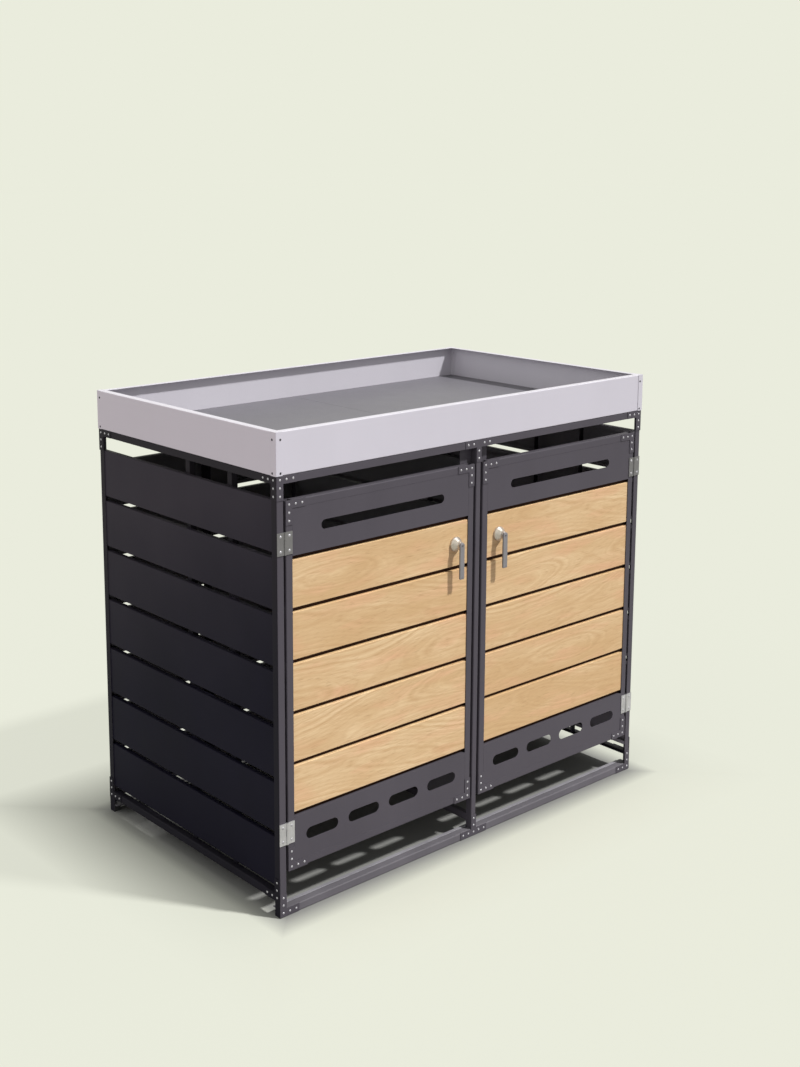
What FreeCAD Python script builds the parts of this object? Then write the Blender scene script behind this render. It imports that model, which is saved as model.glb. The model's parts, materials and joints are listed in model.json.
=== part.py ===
# Wheelie bin store for two bins: an angle-iron frame with walls of folded slats, two doors clad in
# boards, and a shallow sheet-metal planter tray as its roof.
# Millimetres, +Z up, X across the front, the front looks along -Y. The origin lies on the ground under
# the middle of the whole store, levers included.
import FreeCAD, Part
import math
import os
import re
import Sketcher

doc = FreeCAD.newDocument("bin_store")

# Driving dimensions: name, value, what it is
SIZES = (
    ("width", 1360, "outside width of the tray"),
    ("depth", 800, "outside depth of the tray"),
    ("frame_height", 1120, "ground to the top of the frame"),
    ("foot", 2, "thickness of the plastic feet under the posts"),
    ("play", 0.3, "gap round a piece that sits loose in a channel"),
    ("leg", 20, "width of an angle's flange"),
    ("gauge", 2, "thickness of the angles"),
    ("post_wide", 18, "width of the centre posts"),
    ("side_rail_bottom", 42, "ground to the lower edge of the side rails"),
    ("sill_deep", 31, "depth of the bottom rails' upper leg"),
    ("hem_deep", 10.5, "width of the folded hem along a bottom rail"),
    ("hem_thick", 1.5, "height of that hem"),
    ("slat_count", 7, "slats in one wall"),
    ("slat_bottom", 80, "ground to the lowest slat"),
    ("slat_top", 1060, "ground to the top of the highest slat"),
    ("slat_gap", 14, "gap between two slats"),
    ("slat_deep", 15, "depth of a slat with its folded edges"),
    ("slat_lip", 12, "height of the turned-in lip behind a slat's folded edge"),
    ("slat_sheet", 1.2, "thickness of a slat's sheet"),
    ("cleat_wide", 18, "width of the upright cleats behind the slats"),
    ("cleat_first", 201, "front of the frame to the first cleat of a side wall"),
    ("cleat_pitch", 182, "from one cleat of a side wall to the next"),
    ("partition_back_step", 36, "rear face of the centre post to the partition's slats"),
    ("back_slat_drop", 35, "how much lower the back wall's slats hang than those of the sides"),
    ("door_bottom", 117, "ground to the lower edge of a door"),
    ("door_height", 940, "height of a door"),
    ("door_gap", 7, "gap between a corner post and its door"),
    ("centre_gap", 7.5, "gap between the centre post and a door"),
    ("panel_sheet", 1.5, "thickness of the doors' metal panels"),
    ("panel_high", 137.5, "height of a door's top panel"),
    ("kick_high", 137.5, "height of a door's bottom panel"),
    ("board_count", 5, "boards in one door"),
    ("board_gap", 11, "gap between two boards"),
    ("board_bevel", 1.5, "bevel of a board's long edges"),
    ("slot_long", 414, "length of the slot in a top panel"),
    ("slot_high", 24, "height of that slot"),
    ("slot_drop", 76, "top of a door to the middle of that slot"),
    ("vent_long", 104, "length of a slot in a bottom panel"),
    ("vent_high", 30, "height of such a slot"),
    ("vent_pitch", 138.3, "from one such slot to the next"),
    ("vent_rise", 80.5, "bottom of a door to the middle of these slots"),
    ("hinge_high", 56.5, "height of a hinge"),
    ("hinge_rise", 101.5, "bottom of a door to the middle of its lower hinge"),
    ("hinge_drop", 103, "top of a door to the middle of its upper hinge"),
    ("leaf_wide", 22.8, "hinge axis to the outer edge of a leaf"),
    ("leaf_thick", 2, "thickness of a leaf"),
    ("leaf_play", 0.8, "gap between a barrel and the other leaf"),
    ("barrel_radius", 2.8, "outer radius of a hinge's barrel"),
    ("pin_radius", 1.5, "radius of a hinge's pin"),
    ("pin_play", 0.05, "gap round a pin or a spindle"),
    ("screw_pitch", 37, "between the two screws of a leaf, upright"),
    ("screw_in", 13.5, "hinge axis to the screws"),
    ("lock_in", 82, "middle of the store to a lock"),
    ("lock_rise", 733, "bottom of a door to its lock"),
    ("rose_radius", 20, "radius of a rose at the board"),
    ("rose_collar", 5, "height of the straight part of a rose"),
    ("neck_radius", 9, "radius of a rose at the lever"),
    ("rose_high", 23.5, "board to the lever"),
    ("lever_wide", 15, "width of a lever"),
    ("lever_thick", 5.5, "thickness of a lever"),
    ("lever_long", 91, "spindle to the end of a lever"),
    ("lever_round", 2, "rounding of a lever's edges"),
    ("spindle_radius", 4, "radius of a lock's spindle"),
    ("cam_gap", 3, "gap between a door and its cam"),
    ("cam_long", 80, "spindle to the tip of a cam"),
    ("cam_wide", 20, "width of a cam"),
    ("cam_thick", 3, "thickness of a cam"),
    ("nut_radius", 7, "spindle to a corner of the nut"),
    ("nut_high", 5, "height of the nut"),
    ("plate_thick", 1.5, "thickness of the gusset plates"),
    ("plate_long", 60, "length of a gusset's arm"),
    ("tee_half", 50, "half the length of a tee plate's bar"),
    ("stop_high", 80, "height of the door stop behind the centre post's upper end"),
    ("rivet_edge", 10, "edge of a plate to its first rivet"),
    ("rivet_pitch", 20, "from one rivet to the next"),
    ("rivet_radius", 1.6, "radius of a rivet's shank"),
    ("rivet_fit", 0.1, "gap round a shank"),
    ("head_radius", 3, "radius of a rivet's head"),
    ("head_high", 1.2, "height of a rivet's head"),
    ("screw_head_radius", 3.6, "radius of a screw's head"),
    ("tray_height", 106, "height of the tray's walls"),
    ("tray_inset", 3, "how far the frame stands behind the tray's faces"),
    ("tray_sheet", 1.5, "thickness of the tray's sheet"),
    ("tray_lip", 20, "width of the tray's turned lips"),
    ("floor_rise", 13, "top of the frame to the tray's floor"),
    ("seam", 0.8, "gap between the two floor sheets"),
    ("bearer_count", 5, "bearers under the tray's floor"),
    ("bearer_wide", 30, "width of a bearer"),
    ("tray_rivet_in", 14, "corner of the tray to its rivets"),
    ("tray_rivet_low", 6.5, "bottom of the tray to its lower rivets"),
    ("tray_rivet_high", 19, "top of the tray to its upper rivets"),
)

# Places worked out from the driving dimensions
RULES = {
    "reach": "rose_high + lever_thick - tray_inset - gauge - play - head_high",
    "tray_front": "reach / 2 - depth / 2",
    "tray_back": "reach / 2 + depth / 2",
    "half": "width / 2 - tray_inset",
    "front": "tray_front + tray_inset",
    "back": "tray_back - tray_inset",
    "door_top": "door_bottom + door_height",
    "door_outer": "half - leg - door_gap",
    "door_inner": "post_wide / 2 + centre_gap",
    "door_middle": "(door_outer + door_inner) / 2",
    "door_rear": "front + leg",
    "behind_rear": "door_rear - 2 * gauge",
    "stop_face": "door_rear + play",
    "stop_back": "door_rear + play + gauge",
    "window_in": "door_inner + leg + play",
    "window_out": "door_outer - leg - play",
    "board_face": "front + gauge + play",
    "board_thick": "leg - 2 * gauge - 2 * play",
    "fill_in": "door_inner + gauge + play",
    "fill_out": "door_outer - gauge - play",
    "board_bottom": "door_bottom + kick_high + board_gap",
    "board_high": "(door_height - panel_high - kick_high - board_gap * (board_count + 1)) / board_count",
    "slat_high": "(slat_top - slat_bottom - slat_gap * (slat_count - 1)) / slat_count",
    "slat_out": "half - gauge - play",
    "slat_in": "half - gauge - play - slat_deep",
    "pin_x": "door_outer + door_gap / 2",
    "pin_y": "front - leaf_thick",
    "lock_z": "door_bottom + lock_rise",
    "lever_back": "board_face - rose_high",
    "lever_front": "board_face - rose_high - lever_thick",
    "cam_front": "door_rear + cam_gap",
    "cam_back": "door_rear + cam_gap + cam_thick",
    "partition_front": "front + leg + partition_back_step",
    "tray_top": "frame_height + tray_height",
    "floor_top": "frame_height + floor_rise",
}

# A sketch's first rough size, before its constraints give it the real one
ROUGH = 50
# Two edges nearer than this lie in one plane
SAME_PLACE = 0.01
# Share of a rivet head's radius and height at the middle of its dome
DOME_MIDDLE = 0.72


def fill_sheet():
    """Write the driving dimensions into the spreadsheet, one named cell each."""
    table = doc.addObject("Spreadsheet::Sheet", "sizes")
    for row, (name, value, meaning) in enumerate(SIZES, start=1):
        table.set(f"A{row}", name)
        table.set(f"B{row}", str(value))
        table.set(f"C{row}", meaning)
        table.setAlias(f"B{row}", name)
    doc.recompute()
    return table


sheet = fill_sheet()
NAMES = {name for name, value, meaning in SIZES}


def spelled(rule):
    """Turn a rule written in plain names into an expression on the sheet's cells."""
    def word(match):
        name = match.group(0)
        if name in NAMES:
            return "sizes." + name
        if name in RULES:
            return "(" + spelled(RULES[name]) + ")"
        return name
    return re.sub(r"[a-z_]+", word, str(rule))


def link(thing, prop, rule):
    """Bind one property of an object to a rule."""
    thing.setExpression(prop, spelled(rule))


def measure(rule):
    """The present value of a rule, for shapes that are made point by point."""
    return float(sheet.evalExpression(spelled(rule)))


def origin_plane(body, role):
    """One of a body's own origin features."""
    return next(item for item in body.Origin.OriginFeatures if item.Role == role)


def across(side, near, far):
    """Lower and upper X of a span that lies between near and far on one side of the store."""
    if side > 0:
        return near, far
    return f"-({far})", f"-({near})"


def piece(name):
    """A new body, which is one named sub-part."""
    body = doc.addObject("PartDesign::Body", name)
    body.Label = name
    return body


def slab(body, x, y, z):
    """Add a flat-sided block between the given limits to a body."""
    block = body.newObject("PartDesign::AdditiveBox", body.Label + "_slab")
    for prop, (low, high) in zip(("Length", "Width", "Height"), (x, y, z)):
        link(block, prop, f"({high}) - ({low})")
    for axis, (low, high) in zip("xyz", (x, y, z)):
        link(block, f"Placement.Base.{axis}", low)
    body.Tip = block


def sketch_on(body, role, level="0"):
    """An empty sketch on one of the body's origin planes, moved along its normal to a level."""
    sketch = body.newObject("Sketcher::SketchObject", body.Label + "_sketch")
    sketch.AttachmentSupport = [(origin_plane(body, role), "")]
    sketch.MapMode = "FlatFace"
    link(sketch, "AttachmentOffset.Base.z", level)
    return sketch


def pin_point(sketch, shape, point, u, v):
    """Hold one point of a sketch's line at a place given by two rules."""
    for kind, rule in (("DistanceX", u), ("DistanceY", v)):
        number = sketch.addConstraint(Sketcher.Constraint(kind, -1, 1, shape, point, measure(rule)))
        link(sketch, f"Constraints[{number}]", rule)


def outline(sketch, corners):
    """A closed outline of straight edges through the given corners."""
    count = len(corners)
    turn = 2 * math.pi / count
    rough = [ROUGH * FreeCAD.Vector(math.cos(turn * n), math.sin(turn * n), 0) for n in range(count)]
    edges = [Part.LineSegment(rough[n], rough[(n + 1) % count]) for n in range(count)]
    first = sketch.addGeometry(edges, False)[0]
    for n in range(count):
        follower = first + (n + 1) % count
        sketch.addConstraint(Sketcher.Constraint("Coincident", first + n, 2, follower, 1))
    for n, (u, v) in enumerate(corners):
        pin_point(sketch, first + n, 1, u, v)


def rounds(sketch, spots, radius):
    """Circles of one radius at the given places."""
    for u, v in spots:
        start = Part.Circle(FreeCAD.Vector(0, 0, 0), FreeCAD.Vector(0, 0, 1), 1)
        circle = sketch.addGeometry(start, False)
        pin_point(sketch, circle, 3, u, v)
        number = sketch.addConstraint(Sketcher.Constraint("Radius", circle, measure(radius)))
        link(sketch, f"Constraints[{number}]", radius)


def section(body, role, corners, start, end):
    """Carry a section along the axis that is square to its plane, from start to end."""
    upside = role == "XZ_Plane"
    sketch = sketch_on(body, role, f"-({start})" if upside else start)
    outline(sketch, corners)
    pad = body.newObject("PartDesign::Pad", body.Label + "_length")
    pad.Profile = sketch
    pad.Reversed = upside
    link(pad, "Length", f"({end}) - ({start})")
    body.Tip = pad
    return pad


def drill(body, axis, level, reach, spots, radius="rivet_radius + rivet_fit"):
    """Drill round holes from a level, towards +Y for the Y axis or towards -X for the X axis."""
    if not spots:
        return
    if axis == "Y":
        sketch = sketch_on(body, "XZ_Plane", f"-({level})")
    else:
        sketch = sketch_on(body, "YZ_Plane", level)
    rounds(sketch, spots, radius)
    holes = body.newObject("PartDesign::Pocket", body.Label + "_holes")
    holes.Profile = sketch
    link(holes, "Length", reach)
    body.Tip = holes


def repeat(body, features, role, count, pitch):
    """Repeat features along an origin axis at a fixed pitch."""
    row = body.newObject("PartDesign::LinearPattern", body.Label + "_row")
    row.Originals = features
    row.Direction = (origin_plane(body, role), [""])
    link(row, "Occurrences", count)
    link(row, "Length", f"({pitch}) * (({count}) - 1)")
    body.Tip = row


# Rivet places

def corner_spots(u, v, along_u, along_v):
    """Five rivets of an L plate: one in its corner and two along each arm."""
    spots = [(f"{u} + {along_u} * rivet_edge", f"{v} + {along_v} * rivet_edge")]
    for step in (1, 2):
        far = f"(rivet_edge + {step} * rivet_pitch)"
        spots.append((f"{u} + {along_u} * {far}", f"{v} + {along_v} * rivet_edge"))
        spots.append((f"{u} + {along_u} * rivet_edge", f"{v} + {along_v} * {far}"))
    return spots


def tee_spots(v, up, steps):
    """The rivets of a tee plate: a row along its bar and two up its stem."""
    bar = [(f"{step} * rivet_pitch", f"{v} + {up} * rivet_edge") for step in steps]
    stem = [("0", f"{v} + {up} * (rivet_edge + {step} * rivet_pitch)") for step in (1, 2)]
    return bar + stem


def near(spots, position, low, high):
    """The spots whose first (0) or second (1) coordinate lies between two rules."""
    bottom = measure(low)
    top = measure(high)
    return [spot for spot in spots if bottom < measure(spot[position]) < top]


FRAME_LOW = "foot"
FACE_SPOTS = []
for face_side in (-1, 1):
    FACE_SPOTS += corner_spots(f"{face_side} * half", FRAME_LOW, -face_side, 1)
    FACE_SPOTS += corner_spots(f"{face_side} * half", "frame_height", -face_side, -1)
TEE_SPOTS = tee_spots(FRAME_LOW, 1, (-2, -1, 0, 1, 2)) + tee_spots("frame_height", -1, (-2, -1, 1, 2))
SIDE_SPOTS = []
for end_rule, inward in (("front", 1), ("back", -1)):
    SIDE_SPOTS += corner_spots(end_rule, "side_rail_bottom", inward, 1)
    SIDE_SPOTS += corner_spots(end_rule, "frame_height", inward, -1)


# Frame: corner posts, centre posts and feet

def corner_post(name, side, face, inward):
    """An upright angle whose two flanges look forwards (or backwards) and sideways."""
    body = piece(name)
    x = f"{side} * half"
    x_in = f"{side} * (half - gauge)"
    x_far = f"{side} * (half - leg)"
    y_in = f"{face} + {inward} * gauge"
    y_far = f"{face} + {inward} * leg"
    corners = [(x, face), (x_far, face), (x_far, y_in), (x_in, y_in), (x_in, y_far), (x, y_far)]
    section(body, "XY_Plane", corners, "foot", "frame_height")
    low, high = across(side, "half - leg", "half")
    drill(body, "Y", f"{face} - gauge", "3 * gauge", near(FACE_SPOTS, 0, low, high))
    own_side = near(SIDE_SPOTS, 0, f"{face} - leg", f"{face} + leg")
    level = "half + gauge" if side > 0 else "-half + 2 * gauge"
    drill(body, "X", level, "3 * gauge", own_side)


def centre_post(name, face, inward, deep):
    """A folded channel, open towards the inside of the store."""
    body = piece(name)
    x = "post_wide / 2"
    x_in = "(post_wide / 2 - gauge)"
    y_in = f"{face} + {inward} * gauge"
    y_far = f"{face} + {inward} * ({deep})"
    corners = [(f"-{x}", face), (x, face), (x, y_far), (x_in, y_far),
               (x_in, y_in), (f"-{x_in}", y_in), (f"-{x_in}", y_far), (f"-{x}", y_far)]
    section(body, "XY_Plane", corners, "foot + leg", "frame_height - leg")
    stem = near(TEE_SPOTS, 1, "foot + leg", "frame_height - leg")
    drill(body, "Y", f"{face} - gauge", "3 * gauge", stem)


corner_post("front_left_post", -1, "front", 1)
corner_post("front_right_post", 1, "front", 1)
corner_post("back_left_post", -1, "back", -1)
corner_post("back_right_post", 1, "back", -1)
centre_post("front_centre_post", "front", 1, "leg + play")
centre_post("back_centre_post", "back", -1, "leg")

feet = piece("foot_caps")
for foot_side in (-1, 1):
    pad_x = across(foot_side, "half - leg", "half")
    plug_x = across(foot_side, "half - leg", "half - gauge - play")
    slab(feet, pad_x, ("front", "front + leg"), ("0", "foot"))
    slab(feet, plug_x, ("front + gauge + play", "front + leg"), ("foot", "foot + leg - gauge - play"))
    slab(feet, pad_x, ("back - leg", "back"), ("0", "foot"))
    slab(feet, plug_x, ("back - leg", "back - gauge - play"), ("foot", "foot + leg - gauge - play"))


# Frame: rails

def between(face, inward, first, last):
    """Lower and upper Y of a span measured from a face towards the inside."""
    if inward > 0:
        return f"{face} + ({first})", f"{face} + ({last})"
    return f"{face} - ({last})", f"{face} - ({first})"


def face_rail(name, face, inward, bottom, leg_deep, hem=False):
    """A front or back rail: an angle with its upper leg turned in under its top edge."""
    body = piece(name)
    top = f"{bottom} + leg"
    slab(body, ("-half + leg", "half - leg"), between(face, inward, "0", "gauge"), (bottom, top))
    leg_y = between(face, inward, "gauge", leg_deep)
    slab(body, ("-half + gauge", "half - gauge"), leg_y, (f"{top} - gauge", top))
    if hem:
        hem_y = between(face, inward, f"{leg_deep} - hem_deep", leg_deep)
        slab(body, ("-half + leg", "half - leg"), hem_y, (top, f"{top} + hem_thick"))
    spots = near(FACE_SPOTS, 0, "-half + leg", "half - leg") + TEE_SPOTS
    drill(body, "Y", f"{face} - gauge", "3 * gauge", near(spots, 1, bottom, top))


face_rail("front_top_rail", "front", 1, "frame_height - leg", "leg")
face_rail("back_top_rail", "back", -1, "frame_height - leg", "leg")
face_rail("front_bottom_rail", "front", 1, "foot", "sill_deep", hem=True)
face_rail("back_bottom_rail", "back", -1, "foot", "sill_deep", hem=True)


def side_rails(name, bottom, front_end, back_end):
    """The left and right rails of one height, as two separate angles."""
    body = piece(name)
    top = f"{bottom} + leg"
    for side in (-1, 1):
        slab(body, across(side, "half - gauge", "half"), ("front + leg", "back - leg"), (bottom, top))
        leg_x = across(side, "half - leg", "half - gauge")
        leg_y = (f"front + {front_end}", f"back - {back_end}")
        slab(body, leg_x, leg_y, (f"{top} - gauge", top))
        spots = near(SIDE_SPOTS, 0, "front + leg", "back - leg")
        level = "half + gauge" if side > 0 else "-half + 2 * gauge"
        drill(body, "X", level, "3 * gauge", near(spots, 1, bottom, top))


side_rails("side_top_rails", "frame_height - leg", "leg", "leg")
side_rails("side_bottom_rails", "side_rail_bottom", "gauge", "leg")


def centre_rail(name, bottom, start):
    """A folded channel from front to back under the middle of the store, open below."""
    body = piece(name)
    x = "post_wide / 2"
    x_in = "(post_wide / 2 - gauge)"
    top = f"{bottom} + leg"
    corners = [(f"-{x}", bottom), (f"-{x}", top), (x, top), (x, bottom),
               (x_in, bottom), (x_in, f"{top} - gauge"), (f"-{x_in}", f"{top} - gauge"),
               (f"-{x_in}", bottom)]
    section(body, "XZ_Plane", corners, start, "back - leg")


centre_rail("centre_top_rail", "frame_height - leg", "stop_back")
centre_rail("centre_bottom_rail", "side_rail_bottom", "stop_face")


# Walls: folded slats and the upright cleats behind them

def slat_profile(outer, sign, low="slat_bottom"):
    """A folded slat seen end on: a face, two folded edges and a turned lip on each edge."""
    u_in = f"{outer} + {sign} * slat_sheet"
    u_back = f"{outer} + {sign} * slat_deep"
    u_lip = f"{outer} + {sign} * (slat_deep - slat_sheet)"
    high = f"{low} + slat_high"
    return [(outer, low), (outer, high), (u_back, high), (u_back, f"{high} - slat_lip"),
            (u_lip, f"{high} - slat_lip"), (u_lip, f"{high} - slat_sheet"),
            (u_in, f"{high} - slat_sheet"), (u_in, f"{low} + slat_sheet"),
            (u_lip, f"{low} + slat_sheet"), (u_lip, f"{low} + slat_lip"),
            (u_back, f"{low} + slat_lip"), (u_back, low)]


def slats_along_y(name, outer, sign, start, end):
    """A wall of slats that run from front to back."""
    body = piece(name)
    slat = section(body, "XZ_Plane", slat_profile(outer, sign), start, end)
    repeat(body, [slat], "Z_Axis", "slat_count", "slat_high + slat_gap")


slats_along_y("left_wall_slats", "-slat_out", 1, "front + gauge + play", "back - gauge - play")
slats_along_y("right_wall_slats", "slat_out", -1, "front + gauge + play", "back - gauge - play")
slats_along_y("partition_slats", "-slat_deep / 2", 1, "partition_front", "back - leg - play")

back_wall = piece("back_wall_slats")
back_slats = []
back_profile = slat_profile("back - gauge - play", -1, "slat_bottom - back_slat_drop")
for bay in (-1, 1):
    bay_x = across(bay, "post_wide / 2 + play", "slat_in - play")
    back_slats.append(section(back_wall, "YZ_Plane", back_profile, *bay_x))
repeat(back_wall, back_slats, "Z_Axis", "slat_count", "slat_high + slat_gap")

cleats = piece("slat_cleats")


def cleat(x_face, x_sign, y_face, y_sign, bottom, top="frame_height - gauge"):
    """An upright angle that ties the slats of one wall together, from rail to rail."""
    x_in = f"{x_face} + {x_sign} * gauge"
    x_far = f"{x_face} + {x_sign} * cleat_wide"
    y_in = f"{y_face} + {y_sign} * gauge"
    y_far = f"{y_face} + {y_sign} * cleat_wide"
    corners = [(x_face, y_face), (x_far, y_face), (x_far, y_in), (x_in, y_in), (x_in, y_far),
               (x_face, y_far)]
    section(cleats, "XY_Plane", corners, bottom, top)


for step in (0, 1):
    cleat_y = f"front + cleat_first + {step} * cleat_pitch"
    for wall in (-1, 1):
        cleat(f"{wall} * slat_in", -wall, cleat_y, 1, "side_rail_bottom + leg")
    cleat("slat_deep / 2", 1, cleat_y, 1, "side_rail_bottom + leg", "frame_height - leg")
for wall in (-1, 1):
    cleat_y = "back - gauge - play - slat_deep"
    cleat(f"{wall} * door_middle", wall, cleat_y, -1, "foot + leg + hem_thick")


# Gusset plates of the frame

def ell_on_face(body, face_y, x, z, along_x, along_z):
    """An L plate flat on the front or back of the frame."""
    x_arm = f"{x} + {along_x} * plate_long"
    x_leg = f"{x} + {along_x} * leg"
    z_arm = f"{z} + {along_z} * plate_long"
    z_leg = f"{z} + {along_z} * leg"
    corners = [(x, z), (x_arm, z), (x_arm, z_leg), (x_leg, z_leg), (x_leg, z_arm), (x, z_arm)]
    section(body, "XZ_Plane", corners, face_y, f"{face_y} + plate_thick")


def ell_on_side(body, face_x, y, z, along_y, along_z):
    """An L plate flat on the left or right of the frame."""
    y_arm = f"{y} + {along_y} * plate_long"
    y_leg = f"{y} + {along_y} * leg"
    z_arm = f"{z} + {along_z} * plate_long"
    z_leg = f"{z} + {along_z} * leg"
    corners = [(y, z), (y_arm, z), (y_arm, z_leg), (y_leg, z_leg), (y_leg, z_arm), (y, z_arm)]
    section(body, "YZ_Plane", corners, face_x, f"{face_x} + plate_thick")


def tee_on_face(body, face_y, z, up):
    """A tee plate flat on the front or back of the frame, over a centre post's end."""
    z_bar = f"{z} + {up} * leg"
    z_stem = f"{z} + {up} * plate_long"
    half_stem = "post_wide / 2"
    corners = [("-tee_half", z), ("tee_half", z), ("tee_half", z_bar), (half_stem, z_bar),
               (half_stem, z_stem), (f"-{half_stem}", z_stem), (f"-{half_stem}", z_bar),
               ("-tee_half", z_bar)]
    section(body, "XZ_Plane", corners, face_y, f"{face_y} + plate_thick")


for face_name, plate_y in (("front", "front - plate_thick"), ("back", "back")):
    plates = piece(face_name + "_gussets")
    for corner_side in (-1, 1):
        corner_x = f"{corner_side} * half"
        ell_on_face(plates, plate_y, corner_x, FRAME_LOW, -corner_side, 1)
        ell_on_face(plates, plate_y, corner_x, "frame_height", -corner_side, -1)
    tee_on_face(plates, plate_y, FRAME_LOW, 1)
    tee_on_face(plates, plate_y, "frame_height", -1)
    drill(plates, "Y", f"{plate_y} - plate_thick", "3 * plate_thick", FACE_SPOTS + TEE_SPOTS)
    # The front plates include the door stop, which hangs behind the centre post's upper end
    if face_name == "front":
        slab(plates, ("-tee_half", "tee_half"), ("stop_face", "stop_back"),
             ("frame_height - leg - stop_high", "frame_height - gauge - play"))

side_plates = piece("side_gussets")
for plate_x in ("-half - plate_thick", "half"):
    for end_rule, inward in (("front", 1), ("back", -1)):
        ell_on_side(side_plates, plate_x, end_rule, "side_rail_bottom", inward, 1)
        ell_on_side(side_plates, plate_x, end_rule, "frame_height", inward, -1)
    drill(side_plates, "X", f"{plate_x} + 2 * plate_thick", "3 * plate_thick", SIDE_SPOTS)


# Doors

def hinge_levels():
    """Heights of a door's two hinges."""
    return ("door_bottom + hinge_rise", "door_top - hinge_drop")


def leaf_spots(distance, side):
    """The screws of a door's two leaves on one side of the pin."""
    x = f"{side} * (pin_x + {distance})"
    spots = []
    for level in hinge_levels():
        spots.append((x, f"{level} - screw_pitch / 2"))
        spots.append((x, f"{level} + screw_pitch / 2"))
    return spots


def door_gusset_spots(side):
    """The rivets of a door's four L plates."""
    spots = []
    for x, inward in (("door_outer", -1), ("door_inner", 1)):
        spots += corner_spots(f"{side} * {x}", "door_bottom", side * inward, 1)
        spots += corner_spots(f"{side} * {x}", "door_top", side * inward, -1)
    return spots


def board_screw_spots(side, x):
    """One screw into each board's end, from behind."""
    middle = "board_bottom + board_high / 2"
    rows = int(measure("board_count"))
    return [(f"{side} * ({x})", f"{middle} + {n} * (board_high + board_gap)") for n in range(rows)]


def stile(name, side, outer, inward):
    """A door's upright: a folded channel that holds the ends of the panels and boards."""
    body = piece(name)
    x = f"{side} * {outer}"
    x_in = f"{side} * ({outer} + {inward} * gauge)"
    x_far = f"{side} * ({outer} + {inward} * leg)"
    y_in = "front + gauge"
    y_back = "door_rear - gauge"
    corners = [(x, "front"), (x_far, "front"), (x_far, y_in), (x_in, y_in), (x_in, y_back),
               (x_far, y_back), (x_far, "door_rear"), (x, "door_rear")]
    section(body, "XY_Plane", corners, "door_bottom", "door_top")
    low, high = across(side, f"{outer} - leg", f"{outer} + leg")
    spots = near(door_gusset_spots(side), 0, low, high)
    if inward < 0:
        spots += leaf_spots("-screw_in", side)
    drill(body, "Y", "front - gauge", "3 * gauge", spots)
    middle = f"{outer} + {inward} * leg / 2"
    drill(body, "Y", "behind_rear", "3 * gauge", board_screw_spots(side, middle))


def door_rails(name, side):
    """A door's top and bottom angles, two separate solids."""
    body = piece(name)
    flange_x = across(side, "door_inner + leg", "door_outer - leg")
    leg_x = across(side, "door_inner + gauge", "door_outer - gauge")
    leg_y = ("front + gauge", "door_rear - gauge")
    flange_y = ("front", "front + gauge")
    slab(body, flange_x, flange_y, ("door_top - leg", "door_top"))
    slab(body, leg_x, leg_y, ("door_top - gauge", "door_top"))
    slab(body, flange_x, flange_y, ("door_bottom", "door_bottom + leg"))
    slab(body, leg_x, leg_y, ("door_bottom", "door_bottom + gauge"))
    spots = near(door_gusset_spots(side), 0, *flange_x)
    drill(body, "Y", "front - gauge", "3 * gauge", spots)


def in_order(first, last, up):
    """The two limits of a span in rising order, where up is 1 if the last one is the higher."""
    return (first, last) if up > 0 else (last, first)


def door_panel(name, side, free, step, held, up):
    """A door panel: flush with the door's frame, stepped back behind the rail and the stiles.

    Its free edge and the held edge behind the rail are folded back.
    """
    body = piece(name)
    rear = "board_face + board_thick"
    inner = "front + panel_sheet"
    behind = "board_face + panel_sheet"
    sheet_in = f"{up} * panel_sheet"
    corners = [("front", free), ("front", step), ("board_face", step), ("board_face", held),
               (rear, held), (rear, f"{held} - {sheet_in}"), (behind, f"{held} - {sheet_in}"),
               (behind, f"{step} - {sheet_in}"), (inner, f"{step} - {sheet_in}"),
               (inner, f"{free} + {sheet_in}"), (rear, f"{free} + {sheet_in}"), (rear, free)]
    section(body, "YZ_Plane", corners, *across(side, "window_in", "window_out"))
    for window, fill, inward in (("window_in", "fill_in", 1), ("window_out", "fill_out", -1)):
        x = f"{side} * ({window})"
        x_in = f"{side} * ({window} + {inward} * panel_sheet)"
        x_far = f"{side} * ({fill})"
        wing = [(x, "front"), (x_in, "front"), (x_in, behind), (x_far, behind), (x_far, "board_face"),
                (x, "board_face")]
        section(body, "XY_Plane", wing, *in_order(free, step, up))
        wing_x = across(side, *in_order(fill, window, inward))
        slab(body, wing_x, ("board_face", behind), in_order(step, held, up))
    return body


def long_hole(sketch, x, z, length, height):
    """A round-ended slot, as two half circles and two straight edges."""
    ends = (f"{x} - ({length} - {height}) / 2", f"{x} + ({length} - {height}) / 2")
    edges = (f"{z} - {height} / 2", f"{z} + {height} / 2")
    near_x = [measure(rule) for rule in ends]
    near_z = [measure(rule) for rule in edges]
    middle_z = sum(near_z) / 2
    arcs = []
    for centre_x, turn in zip(near_x, (math.pi / 2, -math.pi / 2)):
        centre = FreeCAD.Vector(centre_x, middle_z, 0)
        circle = Part.Circle(centre, FreeCAD.Vector(0, 0, 1), middle_z - near_z[0])
        arcs.append(sketch.addGeometry(Part.ArcOfCircle(circle, turn, turn + math.pi), False))
    left, right = arcs
    low, top = [sketch.addGeometry(Part.LineSegment(FreeCAD.Vector(near_x[0], level, 0),
                                                    FreeCAD.Vector(near_x[1], level, 0)), False)
                for level in near_z]
    for arc, arc_end, line, line_end in ((left, 1, top, 1), (left, 2, low, 1),
                                         (right, 1, low, 2), (right, 2, top, 2)):
        sketch.addConstraint(Sketcher.Constraint("Coincident", arc, arc_end, line, line_end))
    for line, level in ((low, edges[0]), (top, edges[1])):
        pin_point(sketch, line, 1, ends[0], level)
        pin_point(sketch, line, 2, ends[1], level)
    for arc, place in zip(arcs, ends):
        held = Sketcher.Constraint("DistanceX", -1, 1, arc, 3, measure(place))
        number = sketch.addConstraint(held)
        link(sketch, f"Constraints[{number}]", place)


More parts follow.
